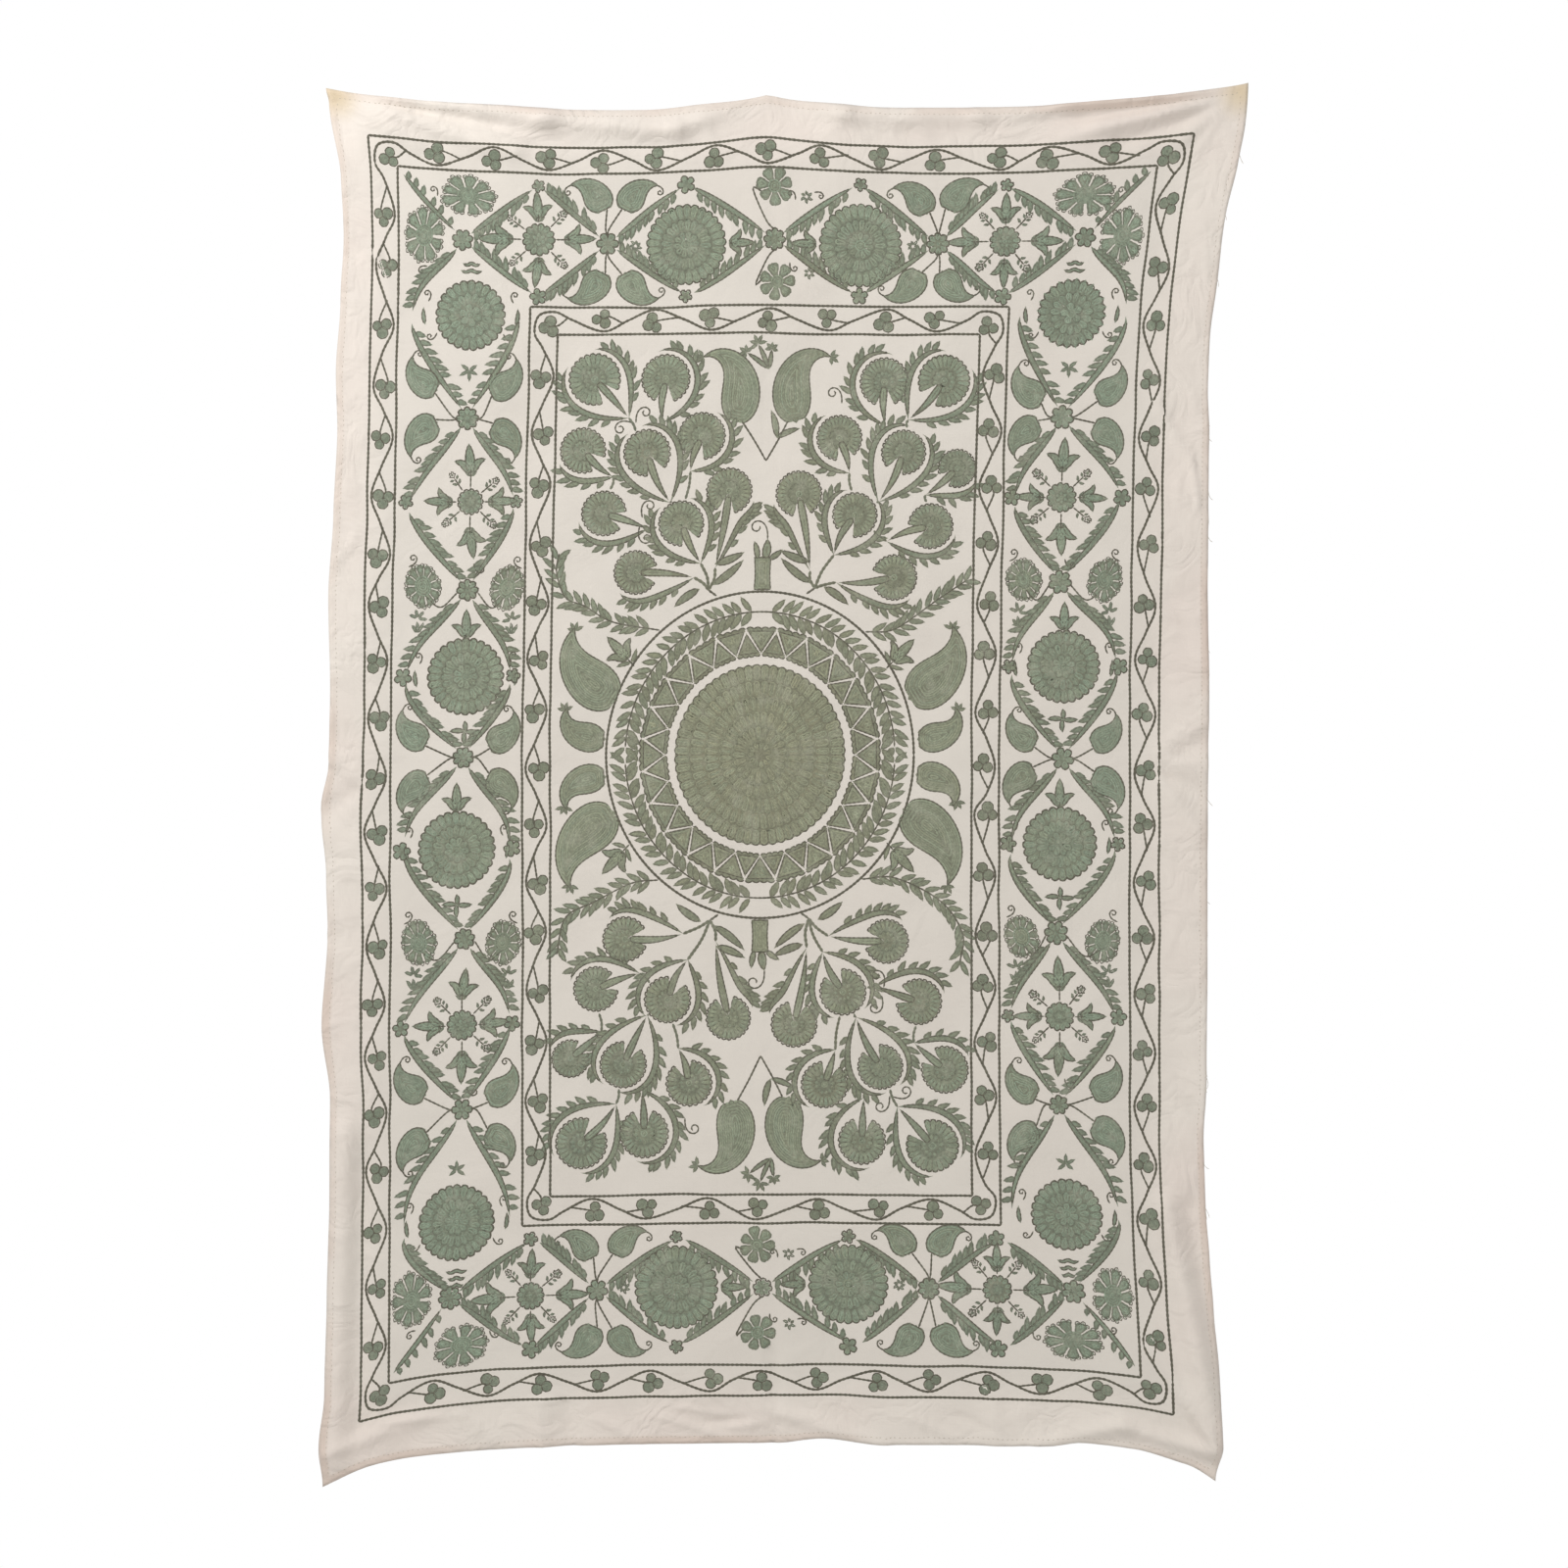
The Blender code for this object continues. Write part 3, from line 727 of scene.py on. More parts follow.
# The left, right, top and bottom of each rectangle on the flat cloth.
Frame = namedtuple("Frame", "left right top bottom")
OUTER = Frame(-639, 619, 62, 2032)
OUTER_INNER = Frame(-595, 572, 104, 1982)
MIDDLE = Frame(-387, 366, 314, 1758)
FIELD = Frame(-343, 322, 357, 1713)
HAND_DRIFT = 1.6


def drifting(start, end):
    """A stitched line between two places that wanders a little, as it is worked by hand."""
    count = max(int(abs(end - start) / 12.0), 4)
    share = np.linspace(0.0, 1.0, count)
    run = (end - start) / abs(end - start)
    rough = hand.normal(0.0, HAND_DRIFT, count + 10)
    wander = np.convolve(rough, np.hanning(11) / np.hanning(11).sum(), "valid")
    return start + share * (end - start) + 1j * run * wander * np.sin(np.pi * share) ** 0.3


def frame_corners(frame_line):
    """The four corners of a frame in order: top left, top right, bottom right, bottom left."""
    left, right, top, bottom = frame_line
    return [left + 1j * top, right + 1j * top, right + 1j * bottom, left + 1j * bottom]


frame_rows = []
for frame_line in (OUTER, OUTER_INNER, MIDDLE, FIELD):
    corners = frame_corners(frame_line)
    for corner, following in zip(corners, corners[1:] + corners[:1]):
        frame_rows.append(Row(drifting(corner, following), DARK, LINE_WIDTH))
embroider("outline_frame", frame_rows, "outline_thread")

# The vine borders
# A dark stem winds between each pair of frame lines and touches them in turn. In every bend a trefoil of
# three round leaves hangs on a short stalk.
TREFOIL_LOBE = 9.6
TREFOIL_REACH = 8.4
TREFOIL_TONE = 0.62
VINE_SWING = 16.5
# The padding's tone, darker than the fill, is painted shade: the padding shows only in the gaps between rows.
PADDING_TONE = 0.45
PADDING_BAND = 12.0
PADDING_OVERLAP = 2.5
# The stem's way round a corner, as distances out and along from it.
CORNER_BENDS = ((-20.0, -14.0), (8.0, -8.0), (14.0, 18.0))


def ring(radius, centre=0j):
    """A closed circle of points."""
    count = max(int(radius * 1.6), 8)
    return centre + radius * np.exp(1j * np.linspace(0.0, 2 * np.pi, count + 1))


def underlay(radius, opening=0.0, centre=0j):
    """Flat padding under a round shape: broad rings one inside the other, and a round patch in the middle.
    Its dark tone is painted shade where it shows between rows. An opening, an angle, is left about +across."""
    rows = []
    while radius > PADDING_BAND:
        turn = np.linspace(opening / 2, 2 * np.pi - opening / 2, max(int(radius), 12))
        line = centre + (radius - PADDING_BAND / 2) * np.exp(1j * turn)
        rows.append(Row(line, PADDING_TONE, PADDING_BAND, True))
        radius -= PADDING_BAND - PADDING_OVERLAP
    along = np.linspace(-0.9, 0.9, 7)
    rows.append(Row(centre + radius * along, PADDING_TONE, 2 * radius * np.sqrt(1.0 - along**2), True))
    return rows


def disc(radius, centre, edge, edge_width, fill=SAGE):
    """A round shape of rings one inside the other: padding, the outline, then the fill."""
    rows = underlay(radius - edge_width / 2, centre=centre)
    rows.append(Row(ring(radius - edge_width / 2, centre), edge, edge_width))
    inner = radius - edge_width - ROW_WIDTH / 2
    while inner > ROW_WIDTH * 0.6:
        rows.append(Row(ring(inner, centre), fill, ROW_WIDTH))
        inner -= ROW_WIDTH
    rows.append(Row(centre + np.array([-0.5, 0.0, 0.5]) * (inner + 3.4), fill, 2 * inner + 3.4))
    return rows


def placed(rows, centre, towards=1.0, mirrored=False):
    """Rows worked at the origin towards +across, turned to face another way and moved to their place."""
    towards = towards / abs(towards)
    made = []
    for row in rows:
        line = row.line.conj() if mirrored else row.line
        made.append(row._replace(line=centre + line * towards))
    return made


def trefoil():
    """Three round leaves about a point, with the stalk's side left open."""
    rows = []
    for turn in (0.0, 2.0, -2.0):
        size = TREFOIL_LOBE * hand.uniform(0.9, 1.1)
        lobe = TREFOIL_REACH * np.exp(1j * (turn + hand.normal(0.0, 0.12)))
        rows += disc(size, lobe, DARK, EDGE_WIDTH, TREFOIL_TONE)
    return rows


def vine(outer, inner, count_across, count_down):
    """The winding stem of one border, and its trefoils, for a frame's outer and inner lines. The stem swings
    out at even stations and in at odd ones, and out round each corner."""
    middle = Frame(*((a + b) / 2 for a, b in zip(outer, inner)))
    corners = frame_corners(middle)
    stem_points, leaf_rows, stalk_rows = [], [], []
    for side in range(4):
        start, end = corners[side], corners[(side + 1) % 4]
        count = count_across if side % 2 == 0 else count_down
        run = (end - start) / abs(end - start)
        outside = -1j * run
        spacing = abs(end - start) / count
        for station in range(count):
            swing = 1.0 if station % 2 == 0 else -1.0
            at = start + run * spacing * station
            if station == 0:
                stem_points += [at + out * outside + along * run for out, along in CORNER_BENDS]
            else:
                at += run * hand.normal(0.0, spacing * 0.04)
                stem_points.append(at + outside * swing * VINE_SWING * hand.uniform(0.9, 1.05))
            halfway = start + run * spacing * (station + 0.5)
            stem_points.append(halfway + outside * hand.normal(0.0, 1.0))
            inward = (outside - run) / abs(outside - run) if station == 0 else outside * swing
            leaf_at = at - inward * 13.0 if station == 0 else at - inward * 3.5 - run * 3.0
            facing = -run - 0.3 * outside if station == 0 else -run + inward * hand.uniform(-0.6, 0.2)
            facing = facing / abs(facing)
            leaf_rows += placed(trefoil(), leaf_at, facing)
            joint = start + run * spacing * (station + 0.42) + outside * swing * VINE_SWING * 0.28
            stalk = smooth_line(leaf_at - facing * 4.0, leaf_at - facing * 13.0 - inward * 2.0, joint)
            stalk_rows.append(Row(stalk, DARK, 3.4))
    stem = smooth_line(*stem_points, closed=True)
    return [Row(stem, DARK, LINE_WIDTH)] + stalk_rows, leaf_rows


outer_stems, outer_leaves = vine(OUTER, OUTER_INNER, 14, 22)
inner_stems, inner_leaves = vine(MIDDLE, FIELD, 8, 16)
embroider("vine_stems", outer_stems + inner_stems, "outline_thread")
embroider("vine_trefoils", outer_leaves + inner_leaves)

# The feathers of the main border
# Serrated leaves, each a smooth blade with pointed barbs along one side, which meet at knots and part the
# border into lozenges. Every filled shape is worked like them: a dark row round its outline, then sage rows
# inside it, one within another.
SMALLEST_ROOM = 0.5
LEAF_TONE = 0.8
PADDING_INSET = 0.8
BARB_TONE = 0.4
BARB_WIDTH = 3.5
BARB_HALF_WIDTH = 5.2
FEATHER_HALF_WIDTH = 5.5
FEATHER_SKEW = 1.6
ROSETTE_BULGE = 11.0
STAR_BULGE = 6.0
LEVEL_BULGE = 2.5
KNOT_GAP = 17.0
EXTREME_GAP = 11.0


def headings(line):
    """The unit direction at each point of a line."""
    steps = np.gradient(line)
    return steps / np.maximum(np.abs(steps), 1e-9)


def swell(share, start, end):
    """A half width from 0 up to 1 and back: the share along to one power times the share left to another.
    A power of a half makes a round end, and 1 a pointed one."""
    shape = share**start * (1.0 - share) ** end
    return shape / shape.max()


def shrunk(spine, half_width, inset):
    """The half width of a shape cut back all round by an inset: at each point, the least of its neighbours'
    half widths less the height of a circle at their distance."""
    travelled = np.cumsum(np.abs(np.diff(spine, prepend=spine[0])))
    apart = travelled[:, None] - travelled[None, :]
    circle = np.sqrt(np.maximum(inset**2 - apart**2, 0.0))
    return np.where(np.abs(apart) <= inset, half_width[None, :] - circle, np.inf).min(axis=1)


def loop_round(spine, room, tone, width):
    """One row up one side of a spine and back down the other, as far out as there is room."""
    kept = np.flatnonzero(room > 0.0)
    if len(kept) < 2:
        return []
    part = slice(kept[0], kept[-1] + 1)
    reach = 1j * headings(spine)[part] * np.maximum(room[part], 0.0)
    out, back = spine[part] + reach, spine[part] - reach
    return [Row(np.concatenate([out, back[::-1], out[:1]]), tone, width)]


def blade(spine, half_width, edge=DARK, edge_width=EDGE_WIDTH, fill=SAGE):
    """A filled shape about a spine, whose half width is given at each point: a row round its outline, strips
    of flat padding side by side along the spine, loops a row apart inside, and one row or a short patch along
    the middle where no loop has room."""
    rows = loop_round(spine, shrunk(spine, half_width, edge_width / 2), edge, edge_width)
    # The padding strips are dark as painted shade in the gaps between rows.
    covered = half_width - PADDING_INSET
    if half_width.max() > edge_width + SMALLEST_ROOM:
        rows.append(Row(spine, PADDING_TONE, np.clip(2.0 * covered, 0.0, PADDING_BAND), True))
    nearer = PADDING_BAND / 2 - PADDING_OVERLAP / 2
    while covered.max() > nearer + PADDING_OVERLAP:
        farther = np.minimum(covered, nearer + PADDING_BAND)
        part = farther > nearer + 0.5
        aside = (1j * headings(spine) * (farther + nearer) / 2)[part]
        for side in (-1, 1):
            rows.append(Row(spine[part] + side * aside, PADDING_TONE, (farther - nearer)[part], True))
        nearer += PADDING_BAND - PADDING_OVERLAP / 2
    taken = edge_width
    while True:
        room = shrunk(spine, half_width, taken)
        widest = room.max()
        if widest < SMALLEST_ROOM:
            return rows
        middle = spine[room > 0.1]
        length = np.abs(np.diff(middle)).sum()
        if length < 3.5 * ROW_WIDTH and widest < 1.6 * ROW_WIDTH:
            # A patch instead of a loop that would be too tight.
            reach = headings(spine)[room.argmax()] * np.linspace(-1.0, 1.0, 5) * (length / 2 + 0.6 * widest)
            rows.append(Row(spine[room.argmax()] + reach, fill, 2 * widest + 0.8))
            return rows
        if widest < 0.8 * ROW_WIDTH:
            if len(middle) > 1:
                rows.append(Row(middle, fill, min(2 * widest + 0.8, 1.3 * ROW_WIDTH)))
            return rows
        rows += loop_round(spine, shrunk(spine, half_width, taken + ROW_WIDTH / 2), fill, ROW_WIDTH)
        taken += ROW_WIDTH


def barb(root, heading, length):
    """One pointed lobe of a leaf's edge, bowed a little: a single row out and back."""
    share = np.linspace(0.0, 1.0, 9)
    spine = root + heading * length * (share + hand.uniform(-0.12, 0.12) * 1j * share**2)
    return blade(spine, BARB_HALF_WIDTH * swell(share, 0.35, 0.7), BARB_TONE, BARB_WIDTH, LEAF_TONE)


def barbed(spine, half_width, side, count, length, lean=0.9, across=None, first=0.1, last=0.92):
    """A blade with barbs along one side, 1 for the right hand and -1 for the left. They lean forward by an
    angle from its run, or all point one way across it."""
    rows = blade(spine, half_width, DARK, EDGE_WIDTH, LEAF_TONE)
    run = headings(spine)
    for share in np.linspace(first, last, count):
        index = int(share * (len(spine) - 1))
        heading = run[index] * np.exp(1j * side * lean) if across is None else across
        heading = heading * np.exp(1j * hand.normal(0.0, 0.06)) / abs(heading)
        root = spine[index] + 1j * side * run[index] * half_width[index] * 0.3
        size = hand.uniform(0.85, 1.12) * (0.72 + 0.56 * np.sin(np.pi * share) ** 0.7)
        rows += barb(root, heading, length * size)
    return rows


def bowed(start, end, bulge, skew=1.0):
    """A line between two places that bows to its right by a distance, nearer its end with a skew above 1."""
    share = np.linspace(0.0, 1.0, 22)
    aside = 1j * (end - start) / abs(end - start)
    return start + (end - start) * share + aside * bulge * np.sin(np.pi * share**skew)


Lozenge = namedtuple("Lozenge", "kind centre radius start end")
LEFT_KNOTS = (-494 + 212j, -482 + 489j, -477 + 757j, -480 + 1019j, -478 + 1303j, -482 + 1570j, -500 + 1863j)
RIGHT_KNOTS = (477 + 208j, 456 + 487j, 458 + 746j, 467 + 1024j, 456 + 1298j, 459 + 1567j, 476 + 1858j)
TOP_KNOTS = (-494 + 212j, -267 + 214j, -4 + 213j, 252 + 215j, 477 + 208j)
BOTTOM_KNOTS = (-500 + 1863j, -269 + 1863j, -8 + 1860j, 253 + 1860j, 476 + 1858j)
CORNER_KNOTS = (TOP_KNOTS[0], TOP_KNOTS[-1], BOTTOM_KNOTS[0], BOTTOM_KNOTS[-1])
LEFT_MOTIFS = (
    ("rosette", -480 + 329j, 56), ("star", -475 + 619j, 22), ("rosette", -478 + 892j, 62),
    ("rosette", -490 + 1163j, 62), ("star", -482 + 1438j, 25), ("rosette", -490 + 1746j, 61),
)
RIGHT_MOTIFS = (
    ("rosette", 464 + 325j, 54), ("star", 458 + 613j, 25), ("rosette", 466 + 879j, 59),
    ("rosette", 462 + 1158j, 60), ("star", 461 + 1429j, 24), ("rosette", 469 + 1738j, 57),
)
TOP_MOTIFS = (
    ("star", -375 + 208j, 27), ("rosette", -143 + 218j, 64), ("rosette", 131 + 219j, 66),
    ("star", 355 + 212j, 25),
)
BOTTOM_MOTIFS = (
    ("star", -374 + 1869j, 23), ("rosette", -144 + 1859j, 67), ("rosette", 127 + 1855j, 64),
    ("star", 359 + 1859j, 24),
)
BORDER_HALF = 88.0
LEFT_MIDDLE, RIGHT_MIDDLE, TOP_MIDDLE, BOTTOM_MIDDLE = -490.0, 467.0, 211.0, 1866.0


def lozenges(knots, motifs):
    """One row for each space between two knots, with what lies in it."""
    return [Lozenge(*motif, start, end) for motif, start, end in zip(motifs, knots, knots[1:])]


UPRIGHT = (
    (lozenges(LEFT_KNOTS, LEFT_MOTIFS), LEFT_MIDDLE),
    (lozenges(RIGHT_KNOTS, RIGHT_MOTIFS), RIGHT_MIDDLE),
)
LEVEL = (
    (lozenges(TOP_KNOTS, TOP_MOTIFS), TOP_MIDDLE),
    (lozenges(BOTTOM_KNOTS, BOTTOM_MOTIFS), BOTTOM_MIDDLE),
)


def side_feather(start, end, bulge, across, half_width=FEATHER_HALF_WIDTH, barbs=9, length=20.0, skew=1.0):
    """A border feather from one place to another, with its barbs pointing across the border."""
    spine = bowed(start, end, bulge, skew=skew)
    share = np.linspace(0.0, 1.0, len(spine))
    run = (end - start) / abs(end - start)
    side = np.sign((across * run.conjugate()).imag)
    return barbed(spine, half_width * swell(share, 0.45, 0.6), side, barbs, length, across=across)


def upright_feathers(lozenge, middle):
    """The four feathers of a lozenge in a side border. Their barbs lie on the upper side of each slope."""
    rows = []
    for side in (-1.0, 1.0):
        widest = middle + side * BORDER_HALF + 1j * (lozenge.centre.imag + hand.normal(0.0, 4.0))
        for start, end in ((lozenge.start, widest), (widest, lozenge.end)):
            run = (end - start) / abs(end - start)
            gaps = (KNOT_GAP, EXTREME_GAP) if start == lozenge.start else (EXTREME_GAP, KNOT_GAP)
            across = np.sign(run.real) + 0.28j
            most = ROSETTE_BULGE if lozenge.kind == "rosette" else STAR_BULGE
            bulge = -side * most + hand.normal(0.0, 1.5)
            skew = FEATHER_SKEW if start == lozenge.start else 1.0 / FEATHER_SKEW
            # The star's lozenge in the top or bottom border already has this side of the corner's feathers.
            by_corner = lozenge.start in CORNER_KNOTS and start == lozenge.start
            by_corner = by_corner or (lozenge.end in CORNER_KNOTS and end == lozenge.end)
            if by_corner and side * middle < 0:
                continue
            rows += side_feather(start + run * gaps[0], end - run * gaps[1], bulge, across, skew=skew)
    return rows


def level_feathers(lozenge, middle):
    """The four feathers of a lozenge in the top or bottom border. Their barbs lie inside, except on the half
    of a star's lozenge that is nearer the middle of the cloth."""
    rows = []
    nearer_end = lozenge.centre.real < 0
    for side in (-1.0, 1.0):
        widest = lozenge.centre.real + hand.normal(0.0, 4.0) + 1j * (middle + side * BORDER_HALF)
        for start, end, is_end_half in ((lozenge.start, widest, False), (widest, lozenge.end, True)):
            run = (end - start) / abs(end - start)
            gaps = (EXTREME_GAP, KNOT_GAP) if is_end_half else (KNOT_GAP, EXTREME_GAP)
            outside = lozenge.kind == "star" and is_end_half == nearer_end
            lean = 0.2 if is_end_half else -0.2
            across = (-lean if outside else lean) + 1j * (side if outside else -side)
            bulge = side * LEVEL_BULGE + hand.normal(0.0, 1.0)
            skew = 1.0 / FEATHER_SKEW if is_end_half else FEATHER_SKEW
            rows += side_feather(start + run * gaps[0], end - run * gaps[1], bulge, across, skew=skew)
    return rows


# From a corner of the band to the corner knot: where it starts and ends, and which way its barbs point.
CornerFeather = namedtuple("CornerFeather", "start end across")
CORNER_FEATHERS = (
    CornerFeather(-586 + 116j, -506 + 198j, 0.12 - 1j),
    CornerFeather(564 + 112j, 489 + 196j, -0.2 - 1j),
    CornerFeather(-588 + 1968j, -513 + 1878j, 0.25 + 1j),
    CornerFeather(564 + 1966j, 489 + 1873j, -0.2 + 1j),
)
feather_rows = []
for border, middle in UPRIGHT:
    for lozenge in border:
        feather_rows += upright_feathers(lozenge, middle)
for border, middle in LEVEL:
    for lozenge in border:
        feather_rows += level_feathers(lozenge, middle)
for start, end, across in CORNER_FEATHERS:
    feather_rows += side_feather(start, end, 2.0, across, half_width=4.6, barbs=6, length=15.0)
embroider("border_feathers", feather_rows)

# The rosettes of the main border
# Round flowers of many petals in rings, one to a lozenge. Each petal is worked up one side and down the
# other, a dark row scallops round the tips, and thin darker rows part the petals.
SEAM_TONE = 0.42
SEAM_WIDTH = 2.0
RIM_WIDTH = 3.1
RIM_NOTCH = 0.8
RING_EDGES = (1.0, 0.66, 0.36, 0.1)
PETALS_PER_MM = 0.46


def petal(angle, inner, outer, half_angle, edge=SAGE, edge_width=ROW_WIDTH, gap=0.0):
    """A wedge between two radii with a round tip, and part of a gap left along each side."""
    share = np.linspace(0.0, 1.0, 12)
    along = inner + (outer - inner) * share
    cap = min(0.8 * half_angle * outer / (outer - inner), 0.9)
    round_tip = np.sqrt(1.0 - np.clip((share - 1.0 + cap) / cap, 0.0, 1.0) ** 2)
    half_width = np.maximum(half_angle * along - gap / 2, 0.5) * round_tip
    return blade(np.exp(1j * angle) * along, half_width, edge, edge_width)


def petal_ring(inner, outer, count, opening, tip_tone):
    """Petals side by side about the origin between two radii. An opening, an angle, is left about +across."""
    step = (2 * np.pi - opening) / count
    tip = step / 2 * outer
    turn = np.linspace(0.0, count, count * 8 + 1)
    off_tip = 2.0 * (turn % 1.0) - 1.0
    bump = np.sqrt(1.0 - off_tip**2)
    rim = outer - RIM_WIDTH / 2 - RIM_NOTCH * tip * (1.0 - bump)
    rows = [Row(rim * np.exp(1j * (opening / 2 + turn * step)), tip_tone, RIM_WIDTH)]
    seam_end = inner + (0.1 if tip_tone == DARK else 0.35) * (outer - inner)
    seam = np.linspace(outer - RIM_WIDTH - RIM_NOTCH * tip, seam_end, 4)
    for number in range(count):
        start = opening / 2 + number * step
        half_angle = step / 2 - 0.5 * SEAM_WIDTH / outer
        rows += petal(start + step / 2, inner, outer - RIM_WIDTH * 0.6, half_angle)
        rows.append(Row(seam * np.exp(1j * start), tip_tone * 0.8 + 0.1, SEAM_WIDTH))
    return rows


def bloom(radius, counts, opening=0.0):
    """A flower of one to three rings of petals, the outermost first, about the origin."""
    notch = (0.45 if counts[0] < 12 else 0.15) * np.pi * radius / counts[0]
    rows = underlay(radius - RIM_WIDTH - notch, opening) + disc(radius * 0.12 + 1.5, 0j, SAGE, ROW_WIDTH)
    edges = RING_EDGES if len(counts) == 3 else (1.0, 0.5, 0.1) if len(counts) == 2 else (1.0, 0.15)
    for number, count in enumerate(counts):
        tone = DARK if number == 0 else SEAM_TONE
        rows += petal_ring(radius * edges[number + 1], radius * edges[number], count, opening, tone)
    return rows


def turned(rows, centre):
    """A round motif set down at a place with a chance turn."""
    return placed(rows, centre, np.exp(1j * hand.uniform(0.0, 6.28)))


rosette_rows = []
for border, middle in UPRIGHT + LEVEL:
    for lozenge in border:
        if lozenge.kind == "rosette":
            petals = int(lozenge.radius * PETALS_PER_MM)
            rosette_rows += turned(bloom(lozenge.radius, (petals, petals - 9, petals - 19)), lozenge.centre)
embroider("border_rosettes", rosette_rows)

# The stars of the main border
# Small round flowers with a tulip on each of their four sides, and twigs with rosebuds between the tulips.
TULIP_PARTS = 0.18


def leaf(root, tip, half_width, bow=0.0, edge=DARK):
    """A small plain leaf from its stalk to its point, bowed to its right by a share of its length."""
    share = np.linspace(0.0, 1.0, 12)
    spine = root + (tip - root) * (share + 2j * bow * share * (1.0 - share))
    return blade(spine, half_width * swell(share, 0.6, 0.8), edge, EDGE_WIDTH, LEAF_TONE)


def tulip(size):
    """An upright middle petal and two that curve outwards, from the origin towards +across."""
    share = np.linspace(0.0, 1.0, 16)
    rows = blade(size * share.astype(complex), TULIP_PARTS * size * swell(share, 0.5, 0.75))
    rows += blade(0.5 * size * share.astype(complex), 0.2 * size * swell(share, 0.6, 0.5), PADDING_TONE)
    for side in (-1, 1):
        spine = smooth_line(0j, 0.19 + 0.13j * side, 0.36 + 0.27j * side, 0.45 + 0.53j * side) * size
        rows += blade(spine, 0.145 * size * swell(np.linspace(0.0, 1.0, len(spine)), 0.5, 0.65))
    return rows


def twig(length, bud):
    """A stalk with two pairs of small leaves and a rosebud at its end, from the origin towards +across."""
    rows = [Row(np.linspace(0.0, length, 5).astype(complex), DARK, 2.8)]
    for share, size in ((0.45, 13.0), (0.85, 12.0)):
        for side in (-1, 1):
            heading = np.exp(1j * side * hand.uniform(0.75, 1.1))
            rows += leaf(length * share + 0j, length * share + size * heading, 2.5, 0.0, BARB_TONE)
    return rows + placed(bloom(bud, (5,)), length + bud + 0j)


def star(centre, radius, along):
    """A star motif in a border that runs along a direction. The tulips along the border stand further out."""
    rows = turned(bloom(radius, (13, 6)), centre)
    for quarter in range(4):
        way = along * 1j**quarter
        base, size = (44.0, 50.0) if quarter % 2 == 0 else (32.0, 44.0)
        size *= hand.uniform(0.93, 1.05)
        rows.append(Row(centre + way * np.linspace(radius, base + 3.0, 4), DARK, 2.8))
        rows += placed(tulip(size), centre + way * base, way * np.exp(1j * hand.normal(0.0, 0.06)))
        for side in (-1, 1):
            root = centre + way * (base - 5.0)
            rows += leaf(root, root + way * np.exp(1j * side * 0.85) * 15.0, 2.5, 0.0, BARB_TONE)
        slant = way * np.exp(1j * (np.pi / 4 + hand.normal(0.0, 0.08)))
        rows += placed(twig(22.0, hand.uniform(7.0, 9.0)), centre + slant * radius, slant)
    return rows


star_rows = []
for borders, along in ((UPRIGHT, 1j), (LEVEL, 1.0)):
    for border, middle in borders:
        for lozenge in border:
            if lozenge.kind == "star":
                star_rows += star(lozenge.centre, lozenge.radius, along)
embroider("border_stars", star_rows)

# The knots of the main border
# Small flowers where the feathers meet, and others at the sides of the lozenges.
KNOT_RADIUS = 18.5
SIDE_KNOT_RADIUS = 14.5
knot_rows = []
for knot in dict.fromkeys(LEFT_KNOTS + RIGHT_KNOTS + TOP_KNOTS + BOTTOM_KNOTS):
    knot_rows += turned(bloom(KNOT_RADIUS * hand.uniform(0.9, 1.1), (int(hand.integers(6, 9)),)), knot)
for border, middle in UPRIGHT:
    for lozenge in border[1:5]:
        for side in (-1, 1):
            spot = middle + side * (BORDER_HALF - 1.0) + 1j * lozenge.centre.imag
            knot_rows += turned(bloom(SIDE_KNOT_RADIUS * hand.uniform(0.8, 1.1), (5,)), spot)
for border, middle in LEVEL:
    for lozenge in border:
        for side in (-1, 1):
            spot = lozenge.centre.real + 1j * (middle + side * (BORDER_HALF - 1.0))
            knot_rows += turned(bloom(SIDE_KNOT_RADIUS * hand.uniform(0.8, 1.1), (5,)), spot)
embroider("border_knots", knot_rows)

# The paisleys of the main border
# Plump drops with a hooked tip that ends in a small curl, on short stalks from the knots.
CURL_WIDTH = 2.9
PAISLEY_LENGTH = 74.0
PAISLEY_HALF_WIDTH = 23.0


def tendril(start, angle, length, turns):
    """A curling line from a place in a direction, whose heading turns ever faster, with the square of the way
    along. Turns above 0 curl to its right."""
    share = np.linspace(0.0, 1.0, 36)
    heading = np.exp(1j * (angle + 2 * np.pi * turns * share**2))
    return start + np.concatenate([[0.0], np.cumsum(heading[:-1])]) * length / 35.0


def paisley(length, half_width, hook=1.5, curl=0.55):
    """A drop about the origin whose tip points to +across and bends to its right. Its heading turns with the
    2.2th power of the way along, and the curl at its tip turns on the same way."""
    share = np.linspace(0.0, 1.0, 30)
    heading = np.exp(1j * (hook * share**2.2 - 0.25))
    spine = np.cumsum(heading) * length / 29.0
    spine -= spine[11]
    widths = half_width * swell(share, 0.5, 1.2) + 1.6 * share**3
    rows = blade(spine, widths)
    rows.append(Row(tendril(spine[-2], hook - 0.25, length * curl, 1.25), DARK, CURL_WIDTH))
    return rows


